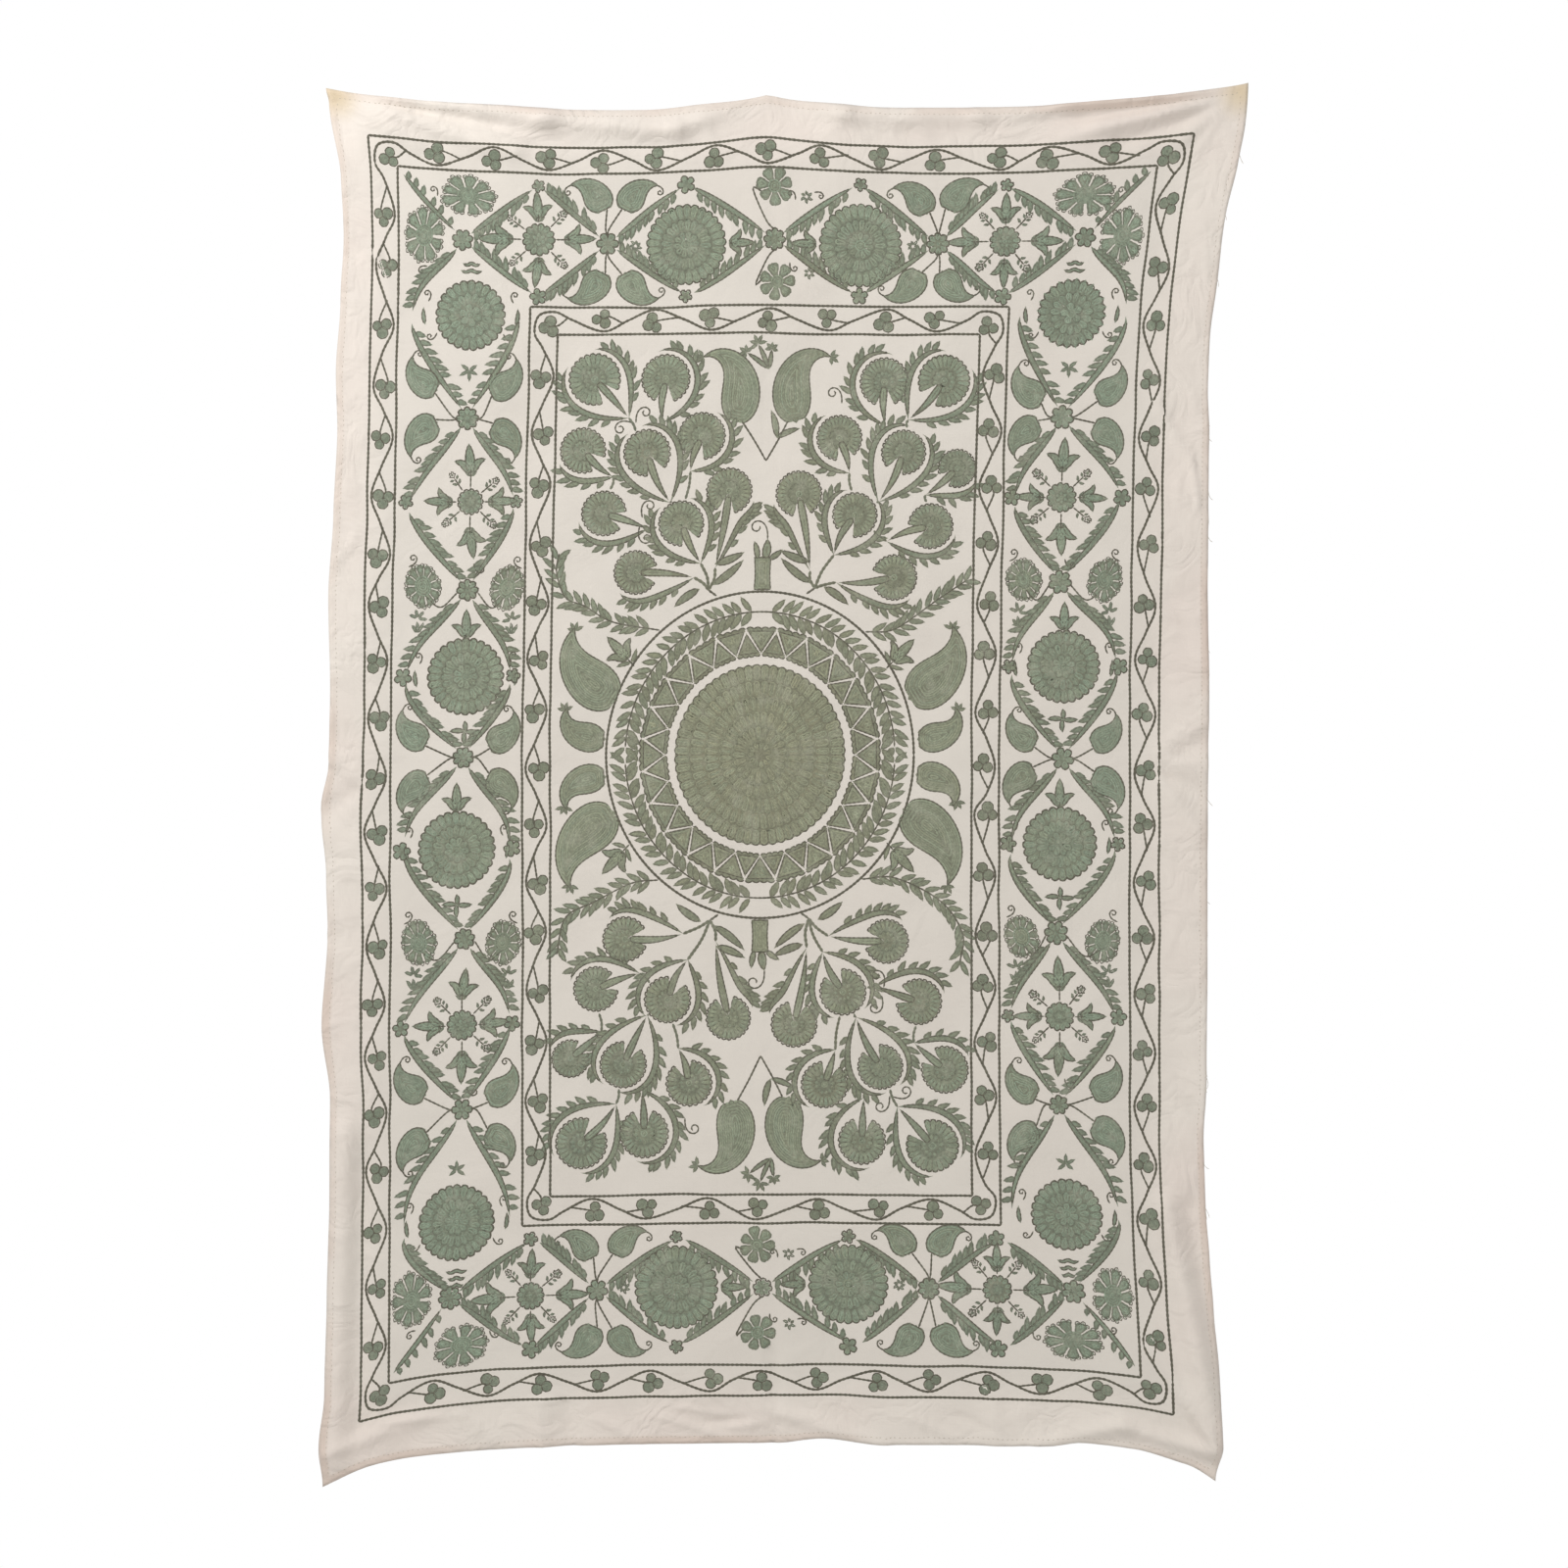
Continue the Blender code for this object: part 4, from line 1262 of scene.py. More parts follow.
BORDER_PAISLEYS = {
    -482 + 489j: (-554 + 433j, -423 + 436j, -554 + 509j, -421 + 513j),
    -480 + 1019j: (-561 + 982j, -417 + 988j, -558 + 1063j, -419 + 1062j),
    -482 + 1570j: (-563 + 1530j, -419 + 1543j, -559 + 1619j, -422 + 1619j),
    456 + 487j: (401 + 447j, 532 + 445j, 397 + 509j, 529 + 513j),
    467 + 1024j: (401 + 989j, 535 + 991j, 398 + 1055j, 538 + 1062j),
    459 + 1567j: (401 + 1542j, 534 + 1536j, 403 + 1618j, 536 + 1609j),
    -267 + 214j: (-285 + 138j, -227 + 139j, -288 + 283j, -226 + 284j),
    252 + 215j: (221 + 144j, 280 + 138j, 210 + 281j, 272 + 281j),
    -269 + 1863j: (-291 + 1791j, -228 + 1786j, -286 + 1943j, -229 + 1944j),
    253 + 1860j: (210 + 1784j, 274 + 1784j, 220 + 1942j, 281 + 1941j),
}


def knot_paisley(knot, centre, along):
    """A paisley beside a knot, whose tip points away from it, and then along the border. It has a curved
    stalk from the knot."""
    away = centre - knot
    along = along if (away * np.conj(along)).real > 0 else -along
    outward_way = 1j * along if (away * np.conj(1j * along)).real > 0 else -1j * along
    towards = along * 0.64 + outward_way * 0.77
    mirrored = (outward_way * np.conj(along)).imag > 0
    size = hand.uniform(0.94, 1.04)
    body = placed(paisley(PAISLEY_LENGTH * size, PAISLEY_HALF_WIDTH * size), centre, towards, mirrored)
    foot = centre - towards * PAISLEY_LENGTH * size * 0.36
    stalk = smooth_line(knot + outward_way * 12.0, knot + outward_way * 24.0 + along * 3.0, foot)
    return body + [Row(stalk, DARK, 3.2)]


paisley_rows = []
for knot, centres in BORDER_PAISLEYS.items():
    for centre in centres:
        is_level = abs(knot.real) < 300
        paisley_rows += knot_paisley(knot, centre, 1.0 if is_level else 1j)
embroider("border_paisleys", paisley_rows)

# The half carnations and corner carnations of the main border
# Flowers of wide petals parted by slits of bare cloth, with a dark scalloped rim, seen from the side. A pair
# stands by two of the knots of each side border, and a pair in each corner.
SCALLOP_RADIUS = 3.6
CARNATION_RADIUS = 33.0
CORNER_RADIUS = 41.0
CARNATION_SPREAD = 6.2


def oval(rows, ahead, aside):
    """Rows about the origin made longer or shorter along +across by one share and down by another."""
    return [row._replace(line=row.line.real * ahead + 1j * row.line.imag * aside) for row in rows]


def slit_flower(radius, petals, spread, scallops, slit, heart):
    """Wide petals that fan out from the origin about +across, with a slit between each two and scallops on
    their rims. A disc, the heart, of a share of the radius fills the middle."""
    rows = disc(heart * radius, 0j, SAGE, ROW_WIDTH)
    step = spread / petals
    half_angle = step / 2
    for number in range(petals):
        angle = step * (number + 0.5) - spread / 2
        reach = radius * hand.uniform(0.86, 0.98)
        rows += petal(angle, 0.6 * heart * radius, reach, half_angle, BARB_TONE, EDGE_WIDTH, slit)
        for share in np.linspace(-0.62, 0.62, scallops):
            tip = (0.99 - 0.12 * abs(share)) * reach * np.exp(1j * (angle + share * half_angle))
            rows.append(Row(ring(SCALLOP_RADIUS, tip), DARK, 2.2))
            rows.append(Row(tip + np.array([-0.8, 0.0, 0.8]), SAGE, 4.4))
    return rows


def fan(size, count, spread, half_width=3.2):
    """Small leaves that spread from the origin about +across."""
    rows = []
    for angle in np.linspace(-spread / 2, spread / 2, count):
        rows += leaf(0j, size * hand.uniform(0.85, 1.08) * np.exp(1j * angle), half_width, 0.0, BARB_TONE)
    return rows


def curl_at(place, heading, turns, length):
    """A tendril that sets out in a direction and ends in a spiral at a place."""
    line = tendril(0j, np.angle(heading), length, turns)
    return [Row(line - line[-1] + place, DARK, CURL_WIDTH)]


# Where each half carnation is, and the knot that it grows from.
HALF_CARNATIONS = (
    (-547 + 750j, -477 + 757j), (-415 + 754j, -477 + 757j), (-550 + 1306j, -478 + 1303j),
    (-418 + 1311j, -478 + 1303j), (401 + 743j, 458 + 746j), (529 + 743j, 458 + 746j),
    (401 + 1304j, 456 + 1298j), (530 + 1310j, 456 + 1298j),
)
CORNER_CARNATIONS = (
    (-485 + 143j, -494 + 212j), (-554 + 207j, -494 + 212j), (471 + 143j, 477 + 208j),
    (533 + 208j, 477 + 208j), (-560 + 1860j, -500 + 1863j), (-482 + 1939j, -500 + 1863j),
    (536 + 1860j, 476 + 1858j), (473 + 1934j, 476 + 1858j),
)
carnation_rows = []
for centre, knot in HALF_CARNATIONS:
    away = np.sign((centre - knot).real)
    facing = -1j * np.exp(1j * (away * 0.25 + hand.normal(0.0, 0.1)))
    flower = slit_flower(CARNATION_RADIUS, 11, CARNATION_SPREAD, scallops=2, slit=0.5, heart=0.45)
    carnation_rows += placed(oval(flower, 1.15, 0.9), centre, facing)
    foot = centre - facing * 4.0
    knot_side = knot + away * 16.0 + 4j
    carnation_rows.append(Row(smooth_line(knot_side, (knot_side + foot) / 2 + 26j, foot + 8j), DARK, 3.0))
    sprig = centre + away * 8.0 + 50j
    carnation_rows += placed(fan(19.0, 4, 2.9), sprig, -away * 0.3 - 1j)
    carnation_rows += placed(fan(22.0, 3, 1.1), sprig + 24j, -1j)
    carnation_rows += curl_at(centre + away * 14.0 - 44j, -away - 0.4j, away * 1.25, 46.0)
for centre, knot in CORNER_CARNATIONS:
    facing = (centre - knot) / abs(centre - knot)
    flower = slit_flower(CORNER_RADIUS, 9, CARNATION_SPREAD, scallops=3, slit=1.3, heart=0.4)
    carnation_rows += placed(oval(flower, 0.84, 1.12), centre, facing)
    out = -np.sign(knot.real + 12) * 1j * facing
    carnation_rows += curl_at(centre + facing * 2.0 - out * 54.0, facing, -1.2, 36.0)
embroider("border_carnations", carnation_rows)

# The flowers at the middle of the top and bottom borders
# Flowers with round petals on curved stalks, above and below the middle knots, and a sprig with two curls.
MIDDLE_RADIUS = 32.0
MIDDLE_FLOWERS = (
    (-4 + 133j, -4 + 213j), (1 + 278j, -4 + 213j), (-17 + 1793j, -8 + 1860j), (-16 + 1931j, -8 + 1860j),
)
middle_rows = []
for centre, knot in MIDDLE_FLOWERS:
    way = (centre - knot) / abs(centre - knot)
    flower = slit_flower(MIDDLE_RADIUS, 7, 2 * np.pi, scallops=0, slit=0.4, heart=0.34)
    middle_rows += turned(flower, centre)
    side = centre - 34.0 + 4j
    stalk = smooth_line(knot + way * 14.0, knot + way * 30.0 - 14.0, side, centre - 20.0 - 8j * way.imag)
    middle_rows.append(Row(stalk, DARK, 3.2))
    sprig = centre + 50.0 - 14j * way.imag
    middle_rows += placed(fan(13.0, 6, 5.2, 2.8), sprig, 1.0)
    middle_rows += curl_at(sprig - 24.0 - 5j, 1j * way.imag, -1.2, 36.0)
    middle_rows += curl_at(sprig + 24.0 - 3j, 0.8 - 0.2j, 1.2, 34.0)
embroider("border_middle_flowers", middle_rows)

# The fillings of the main border
# Tulips, crossed leaves, wavy bars and curls that fill the corners of the rosettes' lozenges.
filling_rows = []
for border, middle in UPRIGHT:
    for number, lozenge in enumerate(border):
        if lozenge.kind != "rosette":
            continue
        above, below = lozenge.centre - 1j * lozenge.radius, lozenge.centre + 1j * lozenge.radius
        if number in (2, 3):
            filling_rows += placed(tulip(46.0), above + 2j, -1j)
            cross = below + 24j
            for way, size in ((1.0, 25.0), (-1.0, 25.0), (1j, 21.0), (-1j, 17.0)):
                filling_rows += leaf(cross, cross + way * size, 4.8, 0.1)
        else:
            inner_side = above - 14j if number == 0 else below + 14j
            step = -1j if number == 0 else 1j
            for count in range(2 if number == 0 else 3):
                bar = inner_side + step * 11.0 * count
                width = 17.0 - 3.0 * count
                wave = smooth_line(bar - width, bar - width / 2 + 3j, bar, bar + width / 2 + 3j, bar + width)
                filling_rows += blade(wave, 3.6 * swell(np.linspace(0.0, 1.0, len(wave)), 0.4, 0.4))
            outer_side = below + 30j if number == 0 else above - 22j
            filling_rows += placed(fan(17.0, 5, 4.4, 3.4), outer_side, -step)
        for side in (-1, 1):
            beside = lozenge.centre + side * (lozenge.radius + 15.0)
            filling_rows += leaf(beside + 16j, beside + side * 3.0 - 12j, 4.0, 0.1 * side)
            filling_rows += curl_at(beside - side * 4.0 - 34j, -side * 0.6 - 1j, side * 1.2, 38.0)
            if number in (0, 5):
                filling_rows += curl_at(beside - side * 8.0 + 36j, side * 0.4 + 1j, -side * 1.2, 38.0)
    for lozenge in (border[1], border[4]):
        filling_rows += curl_at(lozenge.centre + 18.0 + 108j, 0.2 + 1j, -1.2, 44.0)
for border, middle in LEVEL:
    for lozenge, way in ((border[1], 1.0), (border[2], -1.0)):
        filling_rows += placed(tulip(42.0), lozenge.centre + way * (lozenge.radius + 3.0), way)
        sprig = lozenge.centre - way * (lozenge.radius + 16.0)
        filling_rows += placed(fan(13.0, 7, 5.4, 2.8), sprig, -way)
embroider("border_fillings", filling_rows)

# The medallion
# The great round flower in the middle of the field, a little taller than it is wide: a dome of fine petals
# with a scalloped edge, round it a ring of triangles that point in and out by turns, and a thin dark circle.
MEDALLION_CENTRE = -12 + 1019j
MEDALLION_STRETCH = 1.06
DOME_RINGS = ((136.0, 60), (113.0, 52), (90.0, 42), (67.0, 32), (45.0, 21), (23.0, 11))
DOME_SEAM_TONE = 0.6
POINTS_INNER = 147.0
POINTS_OUTER = 189.0
POINTS_COUNT = 24
CIRCLE_RADIUS = 243.0


def stretched(rows):
    """Rows about the origin, drawn out down the cloth and moved to the medallion's centre."""
    return [row._replace(line=MEDALLION_CENTRE + row.line) for row in oval(rows, 1.0, MEDALLION_STRETCH)]


def wedge(apex, base, half_base):
    """A filled triangle from its apex to the middle of its base, with small scallops along the base."""
    share = np.linspace(0.0, 1.0, 14)
    half_width = half_base * share
    half_width[-1] = 0.0
    rows = blade(apex + (base - apex) * share, half_width)
    run = (base - apex) / abs(base - apex)
    turn = np.linspace(0.0, 4.0, 29)
    bumps = base + 1j * run * half_base * (turn / 2.0 - 1.0) + run * 3.2 * np.abs(np.sin(np.pi * turn))
    # The padding under the scallops is dark as painted shade.
    under = base - run * 0.6 + 1j * run * half_base * np.linspace(-0.94, 0.94, 5)
    rows += [Row(under, PADDING_TONE, 6.4, True), Row(bumps, DARK, RIM_WIDTH)]
    return rows


dome_radius = DOME_RINGS[0][0]
dome_rows = underlay(dome_radius - 2.0)
for (outer, count), (inner, fewer) in zip(DOME_RINGS, DOME_RINGS[1:] + ((2.0, 0),)):
    dome_rows += petal_ring(inner, outer, count, 0.0, DARK if outer == dome_radius else DOME_SEAM_TONE)
embroider("medallion_dome", stretched(dome_rows))
point_rows = []
for number in range(POINTS_COUNT):
    angle = 2 * np.pi * number / POINTS_COUNT
    outward_way, between = np.exp(1j * angle), np.exp(1j * (angle + np.pi / POINTS_COUNT))
    half_outer = np.pi * POINTS_OUTER / POINTS_COUNT - 0.8
    half_inner = np.pi * POINTS_INNER / POINTS_COUNT - 0.6
    point_rows += wedge(outward_way * (POINTS_INNER + 4.0), outward_way * (POINTS_OUTER - 2.0), half_outer)
    point_rows += wedge(between * (POINTS_OUTER - 6.0), between * (POINTS_INNER + 2.0), half_inner)
embroider("medallion_points", stretched(point_rows))
circle = Row(ring(CIRCLE_RADIUS), DARK, LINE_WIDTH)
embroider("medallion_circle", stretched([circle]), "outline_thread")

# The wreath of the medallion
# Pairs of narrow leaves along stems that run from the top and the bottom towards the sides.
WREATH_RADIUS = 213.0
WREATH_PAIRS = 24


def leaf_pairs(line, gap, outer, inner, left_half, right_half, lean):
    """Pairs of leaves along a stem that lean from its run by an angle, with their lengths and half widths on
    its left and on its right."""
    rows = [Row(line, DARK, 3.0)]
    travelled = np.cumsum(np.abs(np.diff(line, prepend=line[0])))
    run = headings(line)
    for distance in np.arange(gap * 0.6, travelled[-1] - 2.0, gap):
        index = min(int(np.searchsorted(travelled, distance)), len(line) - 1)
        for side, length, half_width in ((-1, outer, left_half), (1, inner, right_half)):
            slant = run[index] * np.exp(1j * side * (lean + hand.normal(0.0, 0.06)))
            root = line[index] + slant * 1.5
            tip = root + slant * length * hand.uniform(0.9, 1.08)
            rows += leaf(root, tip, half_width, -0.06 * side, BARB_TONE)
    return rows


wreath_rows = []
for start in (-np.pi / 2, np.pi / 2):
    for way in (-1.0, 1.0):
        angles = start + way * np.linspace(0.02, np.pi / 2 - 0.06, 60)
        line = WREATH_RADIUS * np.exp(1j * angles)
        gap = WREATH_RADIUS * (np.pi / 2) / WREATH_PAIRS
        halves = (5.2, 6.4) if way > 0 else (6.4, 5.2)
        wreath_rows += leaf_pairs(line, gap, 29.0, 27.0, *halves, 0.85)
    wreath_rows.append(Row(WREATH_RADIUS * np.exp(1j * (start + np.linspace(-0.08, 0.08, 6))), DARK, 3.2))
embroider("medallion_wreath", stretched(wreath_rows))

# The laurels
# Four stems of narrow leaves that run from the medallion's circle to the sides of the field.
LAURELS = (
    (-173 + 822j, -247 + 809j, -291 + 784j, -322 + 770j, -337 + 730j, -333 + 701j),
    (152 + 825j, 199 + 820j, 265 + 774j, 311 + 743j),
    (-173 + 1216j, -215 + 1221j, -274 + 1250j, -319 + 1274j, -333 + 1332j),
    (149 + 1215j, 202 + 1213j, 273 + 1249j, 308 + 1300j, 304 + 1346j),
)
laurel_rows = []
for spots in LAURELS:
    laurel_rows += leaf_pairs(smooth_line(*spots), 15.0, 28.0, 28.0, 5.0, 5.0, 0.62)
embroider("field_laurels", laurel_rows)

# The trunks
# A short broad trunk above and below the medallion, which ends in three leaf tips and a curling tendril.
TRUNK_HALF_WIDTH = 14.5
TRUNK_LENGTH = 56.0
# Each trunk's foot, which way it stands, and the side that its tendril curls to.
TRUNKS = ((-12 + 761j, -1j, -1.0), (-12 + 1277j, 1j, 1.0))
# Each leaf tip: where its root and its point lie across the trunk, its length and its half width.
LEAF_TIPS = ((-8.0, -14.0, 30.0, 5.4), (3.0, 7.0, 34.0, 7.6), (9.0, 31.0, 14.0, 5.4))
trunk_rows = []
for foot, way, curl_side in TRUNKS:
    share = np.linspace(0.0, 1.0, 20)
    trunk = TRUNK_HALF_WIDTH * (1.0 - 0.12 * np.sin(np.pi * share))
    trunk[[0, -1]] = 0.0
    trunk_rows += blade(foot + way * TRUNK_LENGTH * share, trunk)
    top = foot + way * (TRUNK_LENGTH - 2.0)
    for across, tip_across, length, half_width in LEAF_TIPS:
        trunk_rows += leaf(top + across - way * 4.0, top + tip_across + way * length * 0.85, half_width, 0.08)
    tendril_start = top + 7.0 + way * 28.0
    trunk_rows.append(Row(tendril(tendril_start, np.angle(way), 74.0, curl_side * 1.1), DARK, CURL_WIDTH))
embroider("field_trunks", trunk_rows)

# The paisleys of the field
# Two pairs of tall paisleys stand on forked stalks at the top and bottom of the field, and four lie at each
# side of the medallion, with a tulip by the outer ones. Their tips end in small fans of leaves.
PaisleyKind = namedtuple("PaisleyKind", "half_width hook slant shapes")
FieldPaisley = namedtuple("FieldPaisley", "centre tip length")
PAISLEY_KINDS = (
    PaisleyKind(31.0, 2.3, 0.0, (
        FieldPaisley(-52 + 442j, -120 + 393j, 150.0), FieldPaisley(28 + 441j, 99 + 394j, 150.0),
        FieldPaisley(-50 + 1619j, -121 + 1673j, 150.0), FieldPaisley(26 + 1612j, 93 + 1667j, 146.0),
    )),
    PaisleyKind(38.0, 1.5, 0.95, (
        FieldPaisley(-284 + 900j, -306 + 824j, 150.0), FieldPaisley(-288 + 1142j, -308 + 1224j, 156.0),
        FieldPaisley(267 + 898j, 286 + 820j, 150.0), FieldPaisley(261 + 1138j, 284 + 1222j, 156.0),
    )),
    PaisleyKind(24.0, 2.1, 3.2, (
        FieldPaisley(-292 + 988j, -320 + 946j, 96.0), FieldPaisley(-292 + 1058j, -320 + 1101j, 98.0),
        FieldPaisley(272 + 989j, 303 + 946j, 96.0), FieldPaisley(269 + 1055j, 296 + 1089j, 94.0),
    )),
)
# Each forked stalk's joint, its two feet, and which way it stands.
FORKS = (
    (-10 + 556j, (-50 + 493j, 24 + 492j), -1j),
    (-11 + 1494j, (-48 + 1566j, 24 + 1560j), 1j),
)
# The sprigs at the field's ends: where each stands and which way, and its twigs' tips and sizes.
SPRIGS = ((-9 + 413j, -1j), (6 + 1655j, 1j))
SPRIG_TWIGS = ((-36.0 + 26j, 8.5), (-18.0 + 40j, 9.0), (4.0 + 32j, 7.0))
# The tulips beside the medallion: where each stands and which way.
TULIPS = (
    (-222 + 868j, -0.7 - 0.75j), (-228 + 1170j, -0.7 + 0.75j),
    (196 + 872j, 0.7 - 0.75j), (198 + 1168j, 0.7 + 0.75j),
)


def field_paisley(shape, kind):
    """A paisley whose tip ends near a place. It sets out up or down the cloth, aslant to the side of its tip
    by a share, bends up or down again, and a fan of leaves closes it. With no slant it bends to the side."""
    to_tip = shape.tip - shape.centre
    side, rise = np.sign(to_tip.real), np.sign(to_tip.imag)
    upright = kind.slant == 0.0
    towards = side * kind.slant + 1j * rise
    mirrored = (side * rise > 0) == upright
    body = placed(paisley(shape.length, kind.half_width, kind.hook, 0.0), shape.centre, towards, mirrored)
    tip_line = body[0].line
    tip = tip_line[np.argmin(np.abs(tip_line - shape.tip))]
    finial = (side * 0.9 - 0.2j * rise) if upright else (side * 0.1 + 1j * rise)
    return body + placed(fan(15.0, 4, 2.4, 3.4), tip, finial)


field_paisley_rows = []
for kind in PAISLEY_KINDS:
    for shape in kind.shapes:
        field_paisley_rows += field_paisley(shape, kind)
for joint, feet, way in FORKS:
    for foot in feet:
        field_paisley_rows.append(Row(smooth_line(joint, (joint + foot) / 2 + 1.0, foot), DARK, 3.4))
    branch = joint + 16.0 + way * 36.0
    field_paisley_rows += leaf(branch, branch - 10.0 + way * 44.0, 6.0, 0.1)
    field_paisley_rows += leaf(branch, branch + 37.0 + way * 15.0, 5.4, -0.1)
for sprig, way in SPRIGS:
    for tip, size in SPRIG_TWIGS:
        end = sprig + tip.real + way * tip.imag
        field_paisley_rows += leaf(sprig, end, 4.4, 0.05)
        field_paisley_rows += placed(fan(size * 1.7, 5, 3.6, 3.4), end, end - sprig)
for base, towards in TULIPS:
    field_paisley_rows += placed(tulip(50.0), base, towards)
    field_paisley_rows.append(Row(np.linspace(base, base - 14.0 * towards, 4), DARK, 3.2))
    for side in (-1, 1):
        root = base - 7.0 * towards
        field_paisley_rows += leaf(root, root + towards * np.exp(1j * side * 1.1) * 24.0, 4.0, 0.1, BARB_TONE)
embroider("field_paisleys", field_paisley_rows)

# The sprays of the field
# Nine carnations grow from one root at each corner of the medallion. Serrated leaves curve round the flowers
# from the joints of their stalks. The first spray is the pattern, and the other three mirror it.
FLOWER_OPENING = 0.78
FLOWER_SCALE = 1.05
LEAF_GAP = 4.0
SERRATED_HALF_WIDTH = 5.6
STEM_TONE = 0.35
CRESCENT_BARB = 19.0
CRESCENT_BARB_GAP = 17.0
# For each flower: its joint from its centre, its radius, how far its leaves sweep round it, and what its
# stalk grows from: another flower's rim, or the root. A spray's own share makes the third one smaller.
SMALL_FLOWER = 2
SprayFlower = namedtuple("SprayFlower", "joint radius sweeps parent")
PATTERN = (
    SprayFlower(55 + 61j, 41, (157, -140), 3), SprayFlower(-3 + 68j, 38, (-200,), None),
    SprayFlower(49 + 42j, 36, (110,), 6), SprayFlower(38 + 78j, 36, (-167, 161), 7),
    SprayFlower(-17 + 55j, 36, (-166,), 7), SprayFlower(-20 + 121j, 36, (-77,), "root"),
    SprayFlower(69 + 24j, 36, (143,), 7), SprayFlower(32 + 63j, 36, (-135, 156), "root"),
    SprayFlower(92 + 8j, 35, (123,), "root"),
)
CURL_PATTERNS = ((-1j, 1.2), (-1.0 - 0.3j, -1.2), (-0.2 - 1j, 1.2), (-0.2 + 1j, -1.2))
Spray = namedtuple("Spray", "flip_across flip_down flowers root curls small")
SPRAYS = (
    Spray(1, 1, (-283 + 427j, -171 + 427j, -299 + 539j, -198 + 543j, -112 + 517j, -67 + 603j, -264 + 638j,
                 -142 + 654j, -212 + 731j), -97 + 759j,
          ((-204 + 476j, 0), (-244 + 502j, 1), (-195 + 623j, 2), (-199 + 680j, 3)), 1.0),
    Spray(-1, 1, (268 + 430j, 174 + 432j, 292 + 567j, 207 + 542j, 105 + 520j, 43 + 608j, 252 + 658j,
                  132 + 641j, 196 + 739j), 71 + 756j, ((95 + 446j, 0),), 0.85),
    Spray(1, -1, (-294 + 1630j, -195 + 1616j, -311 + 1496j, -228 + 1507j, -124 + 1537j, -62 + 1434j,
                  -271 + 1387j, -158 + 1405j, -225 + 1309j), -91 + 1280j, ((-118 + 1612j, 0),), 0.85),
    Spray(-1, -1, (260 + 1635j, 149 + 1628j, 280 + 1515j, 178 + 1511j, 90 + 1539j, 42 + 1444j, 239 + 1408j,
                   119 + 1393j, 188 + 1313j), 65 + 1277j,
          ((180 + 1577j, 0), (221 + 1552j, 1), (172 + 1421j, 2), (175 + 1364j, 3)), 1.0),
)


def crescent(joint, centre, radius, sweep):
    """A serrated leaf from a joint round a flower, by an angle in degrees. It closes in on the flower with
    the fifth power of the way left, and its barbs are on the outer side."""
    share = np.linspace(0.0, 1.0, 34)
    away = joint - centre
    reach = radius + LEAF_GAP + SERRATED_HALF_WIDTH * swell(share, 0.5, 0.7)
    distance = reach + np.maximum(abs(away) - reach, 0.0) * (1.0 - share) ** 5
    spine = centre + distance * away / abs(away) * np.exp(1j * np.radians(sweep) * share)
    half_width = SERRATED_HALF_WIDTH * swell(share, 0.5, 0.7)
    barbs = max(int(np.abs(np.diff(spine)).sum() / CRESCENT_BARB_GAP), 3)
    side = -np.sign(sweep)
    return barbed(spine, half_width, side, barbs, CRESCENT_BARB, lean=0.62, first=0.14, last=0.84)


def spray(plan):
    """One spray: its carnations, each on a horn from its joint, and their leaves, stems, curls and lances."""
    def flip(offset):
        return offset.real * plan.flip_across + 1j * offset.imag * plan.flip_down

    handed = plan.flip_across * plan.flip_down
    rows = []
    for number, (centre, flower) in enumerate(zip(plan.flowers, PATTERN)):
        radius = flower.radius * (plan.small if number == SMALL_FLOWER else 1.0)
        radius *= FLOWER_SCALE * hand.uniform(0.97, 1.03)
        joint = centre + flip(flower.joint)
        petals = int(hand.integers(21, 25))
        rows += placed(bloom(radius, (petals, petals // 2), FLOWER_OPENING), centre, joint - centre)
        inside = centre + (joint - centre) / abs(joint - centre) * radius * 0.12
        horn = bowed(joint, inside, hand.uniform(-5.0, 5.0))
        rows += blade(horn, 6.6 * swell(np.linspace(0.0, 1.0, len(horn)), 0.9, 0.3))
        for sweep in flower.sweeps:
            rows += crescent(joint, centre, radius, sweep * handed)
        if flower.parent == "root":
            bend = (joint + plan.root) / 2 + flip(4 + 0j)
            rows.append(Row(smooth_line(joint, bend, plan.root), STEM_TONE, 5.2))
        elif flower.parent is not None:
            parent = plan.flowers[flower.parent]
            rim = parent + (joint - parent) / abs(joint - parent) * (PATTERN[flower.parent].radius + 3.0)
            rows.append(Row(smooth_line(joint, (joint + rim) / 2 + flip(2 + 0j), rim), STEM_TONE, 4.6))
    for place, pattern in plan.curls:
        heading, turns = CURL_PATTERNS[pattern]
        rows += curl_at(place, flip(complex(heading)), turns * handed, 66.0)
    for start, end in ((9 - 41j, 56 - 60j), (6 - 8j, 55 - 48j), (-14 - 2j, -54 + 27j)):
        rows += leaf(plan.root + flip(start), plan.root + flip(end), 7.0, 0.08 * handed)
    rows.append(Row(np.linspace(plan.root, plan.root + flip(13 + 9j), 4), DARK, 4.0))
    return rows


for plan, title in zip(SPRAYS, ("upper_left", "upper_right", "lower_left", "lower_right")):
    embroider("spray_" + title, spray(plan))

# The reverse of the stitching
# Chain stitch shows as a plain line of short stitches on the back of the cloth.
REVERSE_WIDTH = 1.1
REVERSE_GAP = 0.25


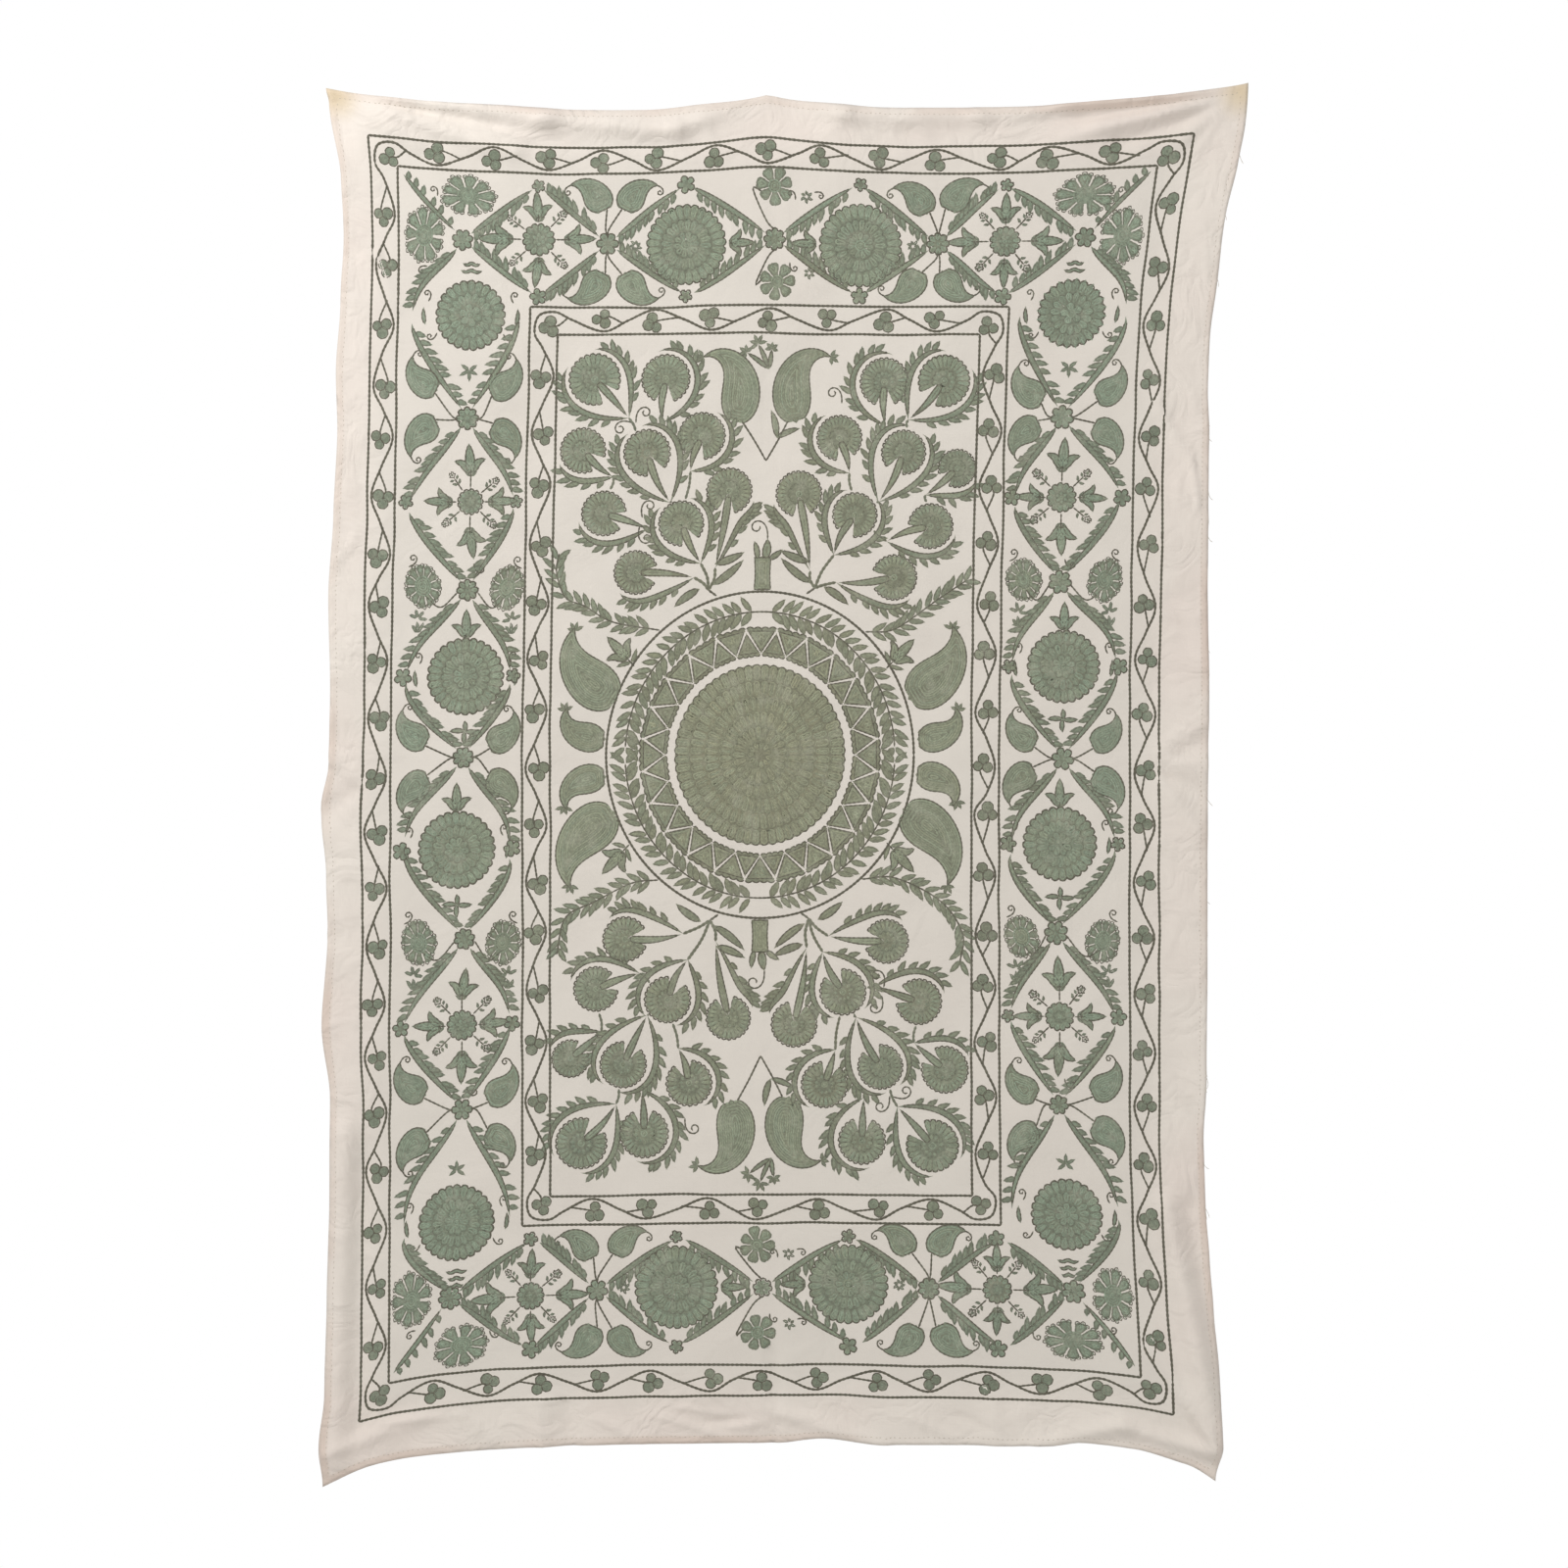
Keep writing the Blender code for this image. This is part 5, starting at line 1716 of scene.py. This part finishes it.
def reverse_mesh(rows):
    """One flat stitch for each link, a little behind the cloth's back."""
    places, forward, widths, step_number, row_of, links = row_stations(rows)
    starts = np.flatnonzero((step_number % 2 == 0) & (step_number < 2 * links[row_of]))
    ends = starts + 1
    aside = 1j * forward[starts] * REVERSE_WIDTH / 2
    corners = [places[starts] - aside, places[starts] + aside, places[ends] + aside, places[ends] - aside]
    spots = np.stack(corners, axis=1).ravel()
    points, normals = on_cloth(spots)
    points = points - normals * (GROUND_THICKNESS + REVERSE_GAP)
    faces = np.arange(len(spots)).reshape(-1, 4)[:, ::-1]
    tones = np.repeat(hand.uniform(0.3, 0.75, len(starts)), 4)
    values = [("tone", tones), ("dye", np.full(len(spots), 0.4))]
    along = np.tile([0.0, 0.0, 1.0, 1.0], len(starts))
    return make_mesh("stitches_behind", points, faces, np.stack([along, 0.0 * along], axis=1), values)


worked_rows = [row for row in all_rows if not row.padding]
add_piece("stitches_behind", reverse_mesh(worked_rows), SAGE_THREAD)

# The hem's stitches
# A line of tiny hand stitches in cotton thread holds the turned edge down, and a few loose ends have worked
# out of the right-hand fold.
HEM_STITCH_GAP = 7.5
HEM_STITCH_LENGTH = 3.0
HEM_STITCH_WIDTH = 1.3
LOOSE_ENDS = 26
LOOSE_END_WIDTH = 0.8
HEM_THREAD = (0.52, 0.46, 0.38, 1.0)


def hem_thread():
    """Dull cotton thread, a little darker than the cloth, with a fine twist whose grooves have painted shade.
    """
    material, tree, shader = new_material("hem_thread", 0.85, 0.2)
    stitch = add_node(tree, "ShaderNodeUVMap", {}, uv_map="UVMap").outputs[0]
    parts = add_node(tree, "ShaderNodeSeparateXYZ", {0: stitch})
    twist = calculate(tree, "SINE", calculate(tree, "MULTIPLY", parts.outputs[0], 26.0))
    # Painted shade: the colour darkens in the twist's grooves, as the bump does.
    shade = calculate(tree, "MULTIPLY_ADD", twist, 0.08, 0.92)
    grey = add_node(tree, "ShaderNodeCombineColor", {0: shade, 1: shade, 2: shade}).outputs[0]
    tree.links.new(blend_colours(tree, 1.0, HEM_THREAD, grey, "MULTIPLY"), shader.inputs["Base Color"])
    tree.links.new(bumpy(tree, twist, 0.4, 0.0003), shader.inputs["Normal"])
    return material


def hem_rows():
    """One short row for each stitch along the four hems, and the loose ends."""
    inset = HEM_WIDTH - 0.5
    corners = frame_corners(Frame(CLOTH_LEFT + inset, CLOTH_RIGHT - inset, inset, CLOTH_LENGTH - inset))
    rows = []
    for corner, following in zip(corners, corners[1:] + corners[:1]):
        run = (following - corner) / abs(following - corner)
        for distance in np.arange(4.0, abs(following - corner) - 4.0, HEM_STITCH_GAP):
            place = corner + run * (distance + hand.uniform(-1.0, 1.0)) + 1j * run * hand.normal(0.0, 0.5)
            slant = run * np.exp(1j * hand.uniform(-0.3, 0.3))
            rows.append(Row(np.array([place, place + slant * HEM_STITCH_LENGTH]), SAGE, HEM_STITCH_WIDTH))
    for down in hand.uniform(60.0, CLOTH_LENGTH - 60.0, LOOSE_ENDS):
        start = CLOTH_RIGHT - hand.uniform(0.5, 4.0) + 1j * down
        loose = tendril(start, hand.uniform(0.9, 2.2), hand.uniform(8.0, 22.0), hand.uniform(-0.2, 0.2))
        rows.append(Row(loose, SAGE, LOOSE_END_WIDTH))
    return rows


add_piece("hem_stitches", stitched_mesh("hem_stitches", hem_rows()), hem_thread())

# The last section: the stage, the light and the camera
# A pale floor below the cloth, broad soft light from the upper left, and a camera straight in front.
FLOOR_DROP = 2.645
FLOOR_SIDES = (-3.0, 3.0)
FLOOR_ENDS = (-2.6, 1.4)
CAMERA_AIM = (0.026, -1.091)
CAMERA_DISTANCE = 5.86
LENS = 85.0


def pale_floor():
    """A flat square below the cloth."""
    mesh = bpy.data.meshes.new("floor")
    (left, right), (front, back) = FLOOR_SIDES, FLOOR_ENDS
    flat = ((left, front), (right, front), (right, back), (left, back))
    mesh.from_pydata([(x, y, -FLOOR_DROP) for x, y in flat], [], [(0, 1, 2, 3)])
    floor = bpy.data.objects.new("floor", mesh)
    material, tree, shader = new_material("pale_floor", 0.9, 0.0)
    shader.inputs["Base Color"].default_value = (0.82, 0.82, 0.81, 1.0)
    mesh.materials.append(material)
    bpy.context.scene.collection.objects.link(floor)


def soft_light(name, place, aim, size, power):
    """A large square area light that faces a point."""
    light = bpy.data.lights.new(name, "AREA")
    light.shape = "SQUARE"
    light.size = size
    light.energy = power
    lamp = bpy.data.objects.new(name, light)
    lamp.location = place
    away = np.array(place) - np.array(aim)
    tilt = np.arctan2(np.hypot(away[0], away[1]), away[2])
    lamp.rotation_euler = (tilt, 0.0, np.arctan2(away[0], -away[1]))
    bpy.context.scene.collection.objects.link(lamp)


def white_surround():
    """White behind the cloth, and a weaker even light from all round."""
    world = bpy.data.worlds.new("white_surround")
    bpy.context.scene.world = world
    world.use_nodes = True
    tree = world.node_tree
    shown = tree.nodes["Background"]
    shown.inputs[0].default_value = (1.0, 1.0, 1.0, 1.0)
    shown.inputs[1].default_value = 1.0
    ambient = add_node(tree, "ShaderNodeBackground", {0: (1.0, 0.985, 0.965, 1.0), 1: 0.5})
    path = add_node(tree, "ShaderNodeLightPath", {})
    mixed = add_node(tree, "ShaderNodeMixShader", {0: path.outputs["Is Camera Ray"]})
    tree.links.new(ambient.outputs[0], mixed.inputs[1])
    tree.links.new(shown.outputs[0], mixed.inputs[2])
    tree.links.new(mixed.outputs[0], tree.nodes["World Output"].inputs[0])


pale_floor()
white_surround()
soft_light("upper_left_light", (-2.5, -2.6, 1.6), (0.0, 0.0, -0.75), 1.5, 124.0)
soft_light("right_fill_light", (2.8, -3.4, -0.6), (0.0, 0.0, -1.1), 2.4, 34.0)
view = bpy.data.cameras.new("front_view")
view.lens = LENS
camera = bpy.data.objects.new("front_view", view)
camera.location = (CAMERA_AIM[0], -CAMERA_DISTANCE, CAMERA_AIM[1])
camera.rotation_euler = (np.pi / 2, 0.0, 0.0)
bpy.context.scene.collection.objects.link(camera)
bpy.context.scene.camera = camera
bpy.context.scene.view_settings.view_transform = "Standard"
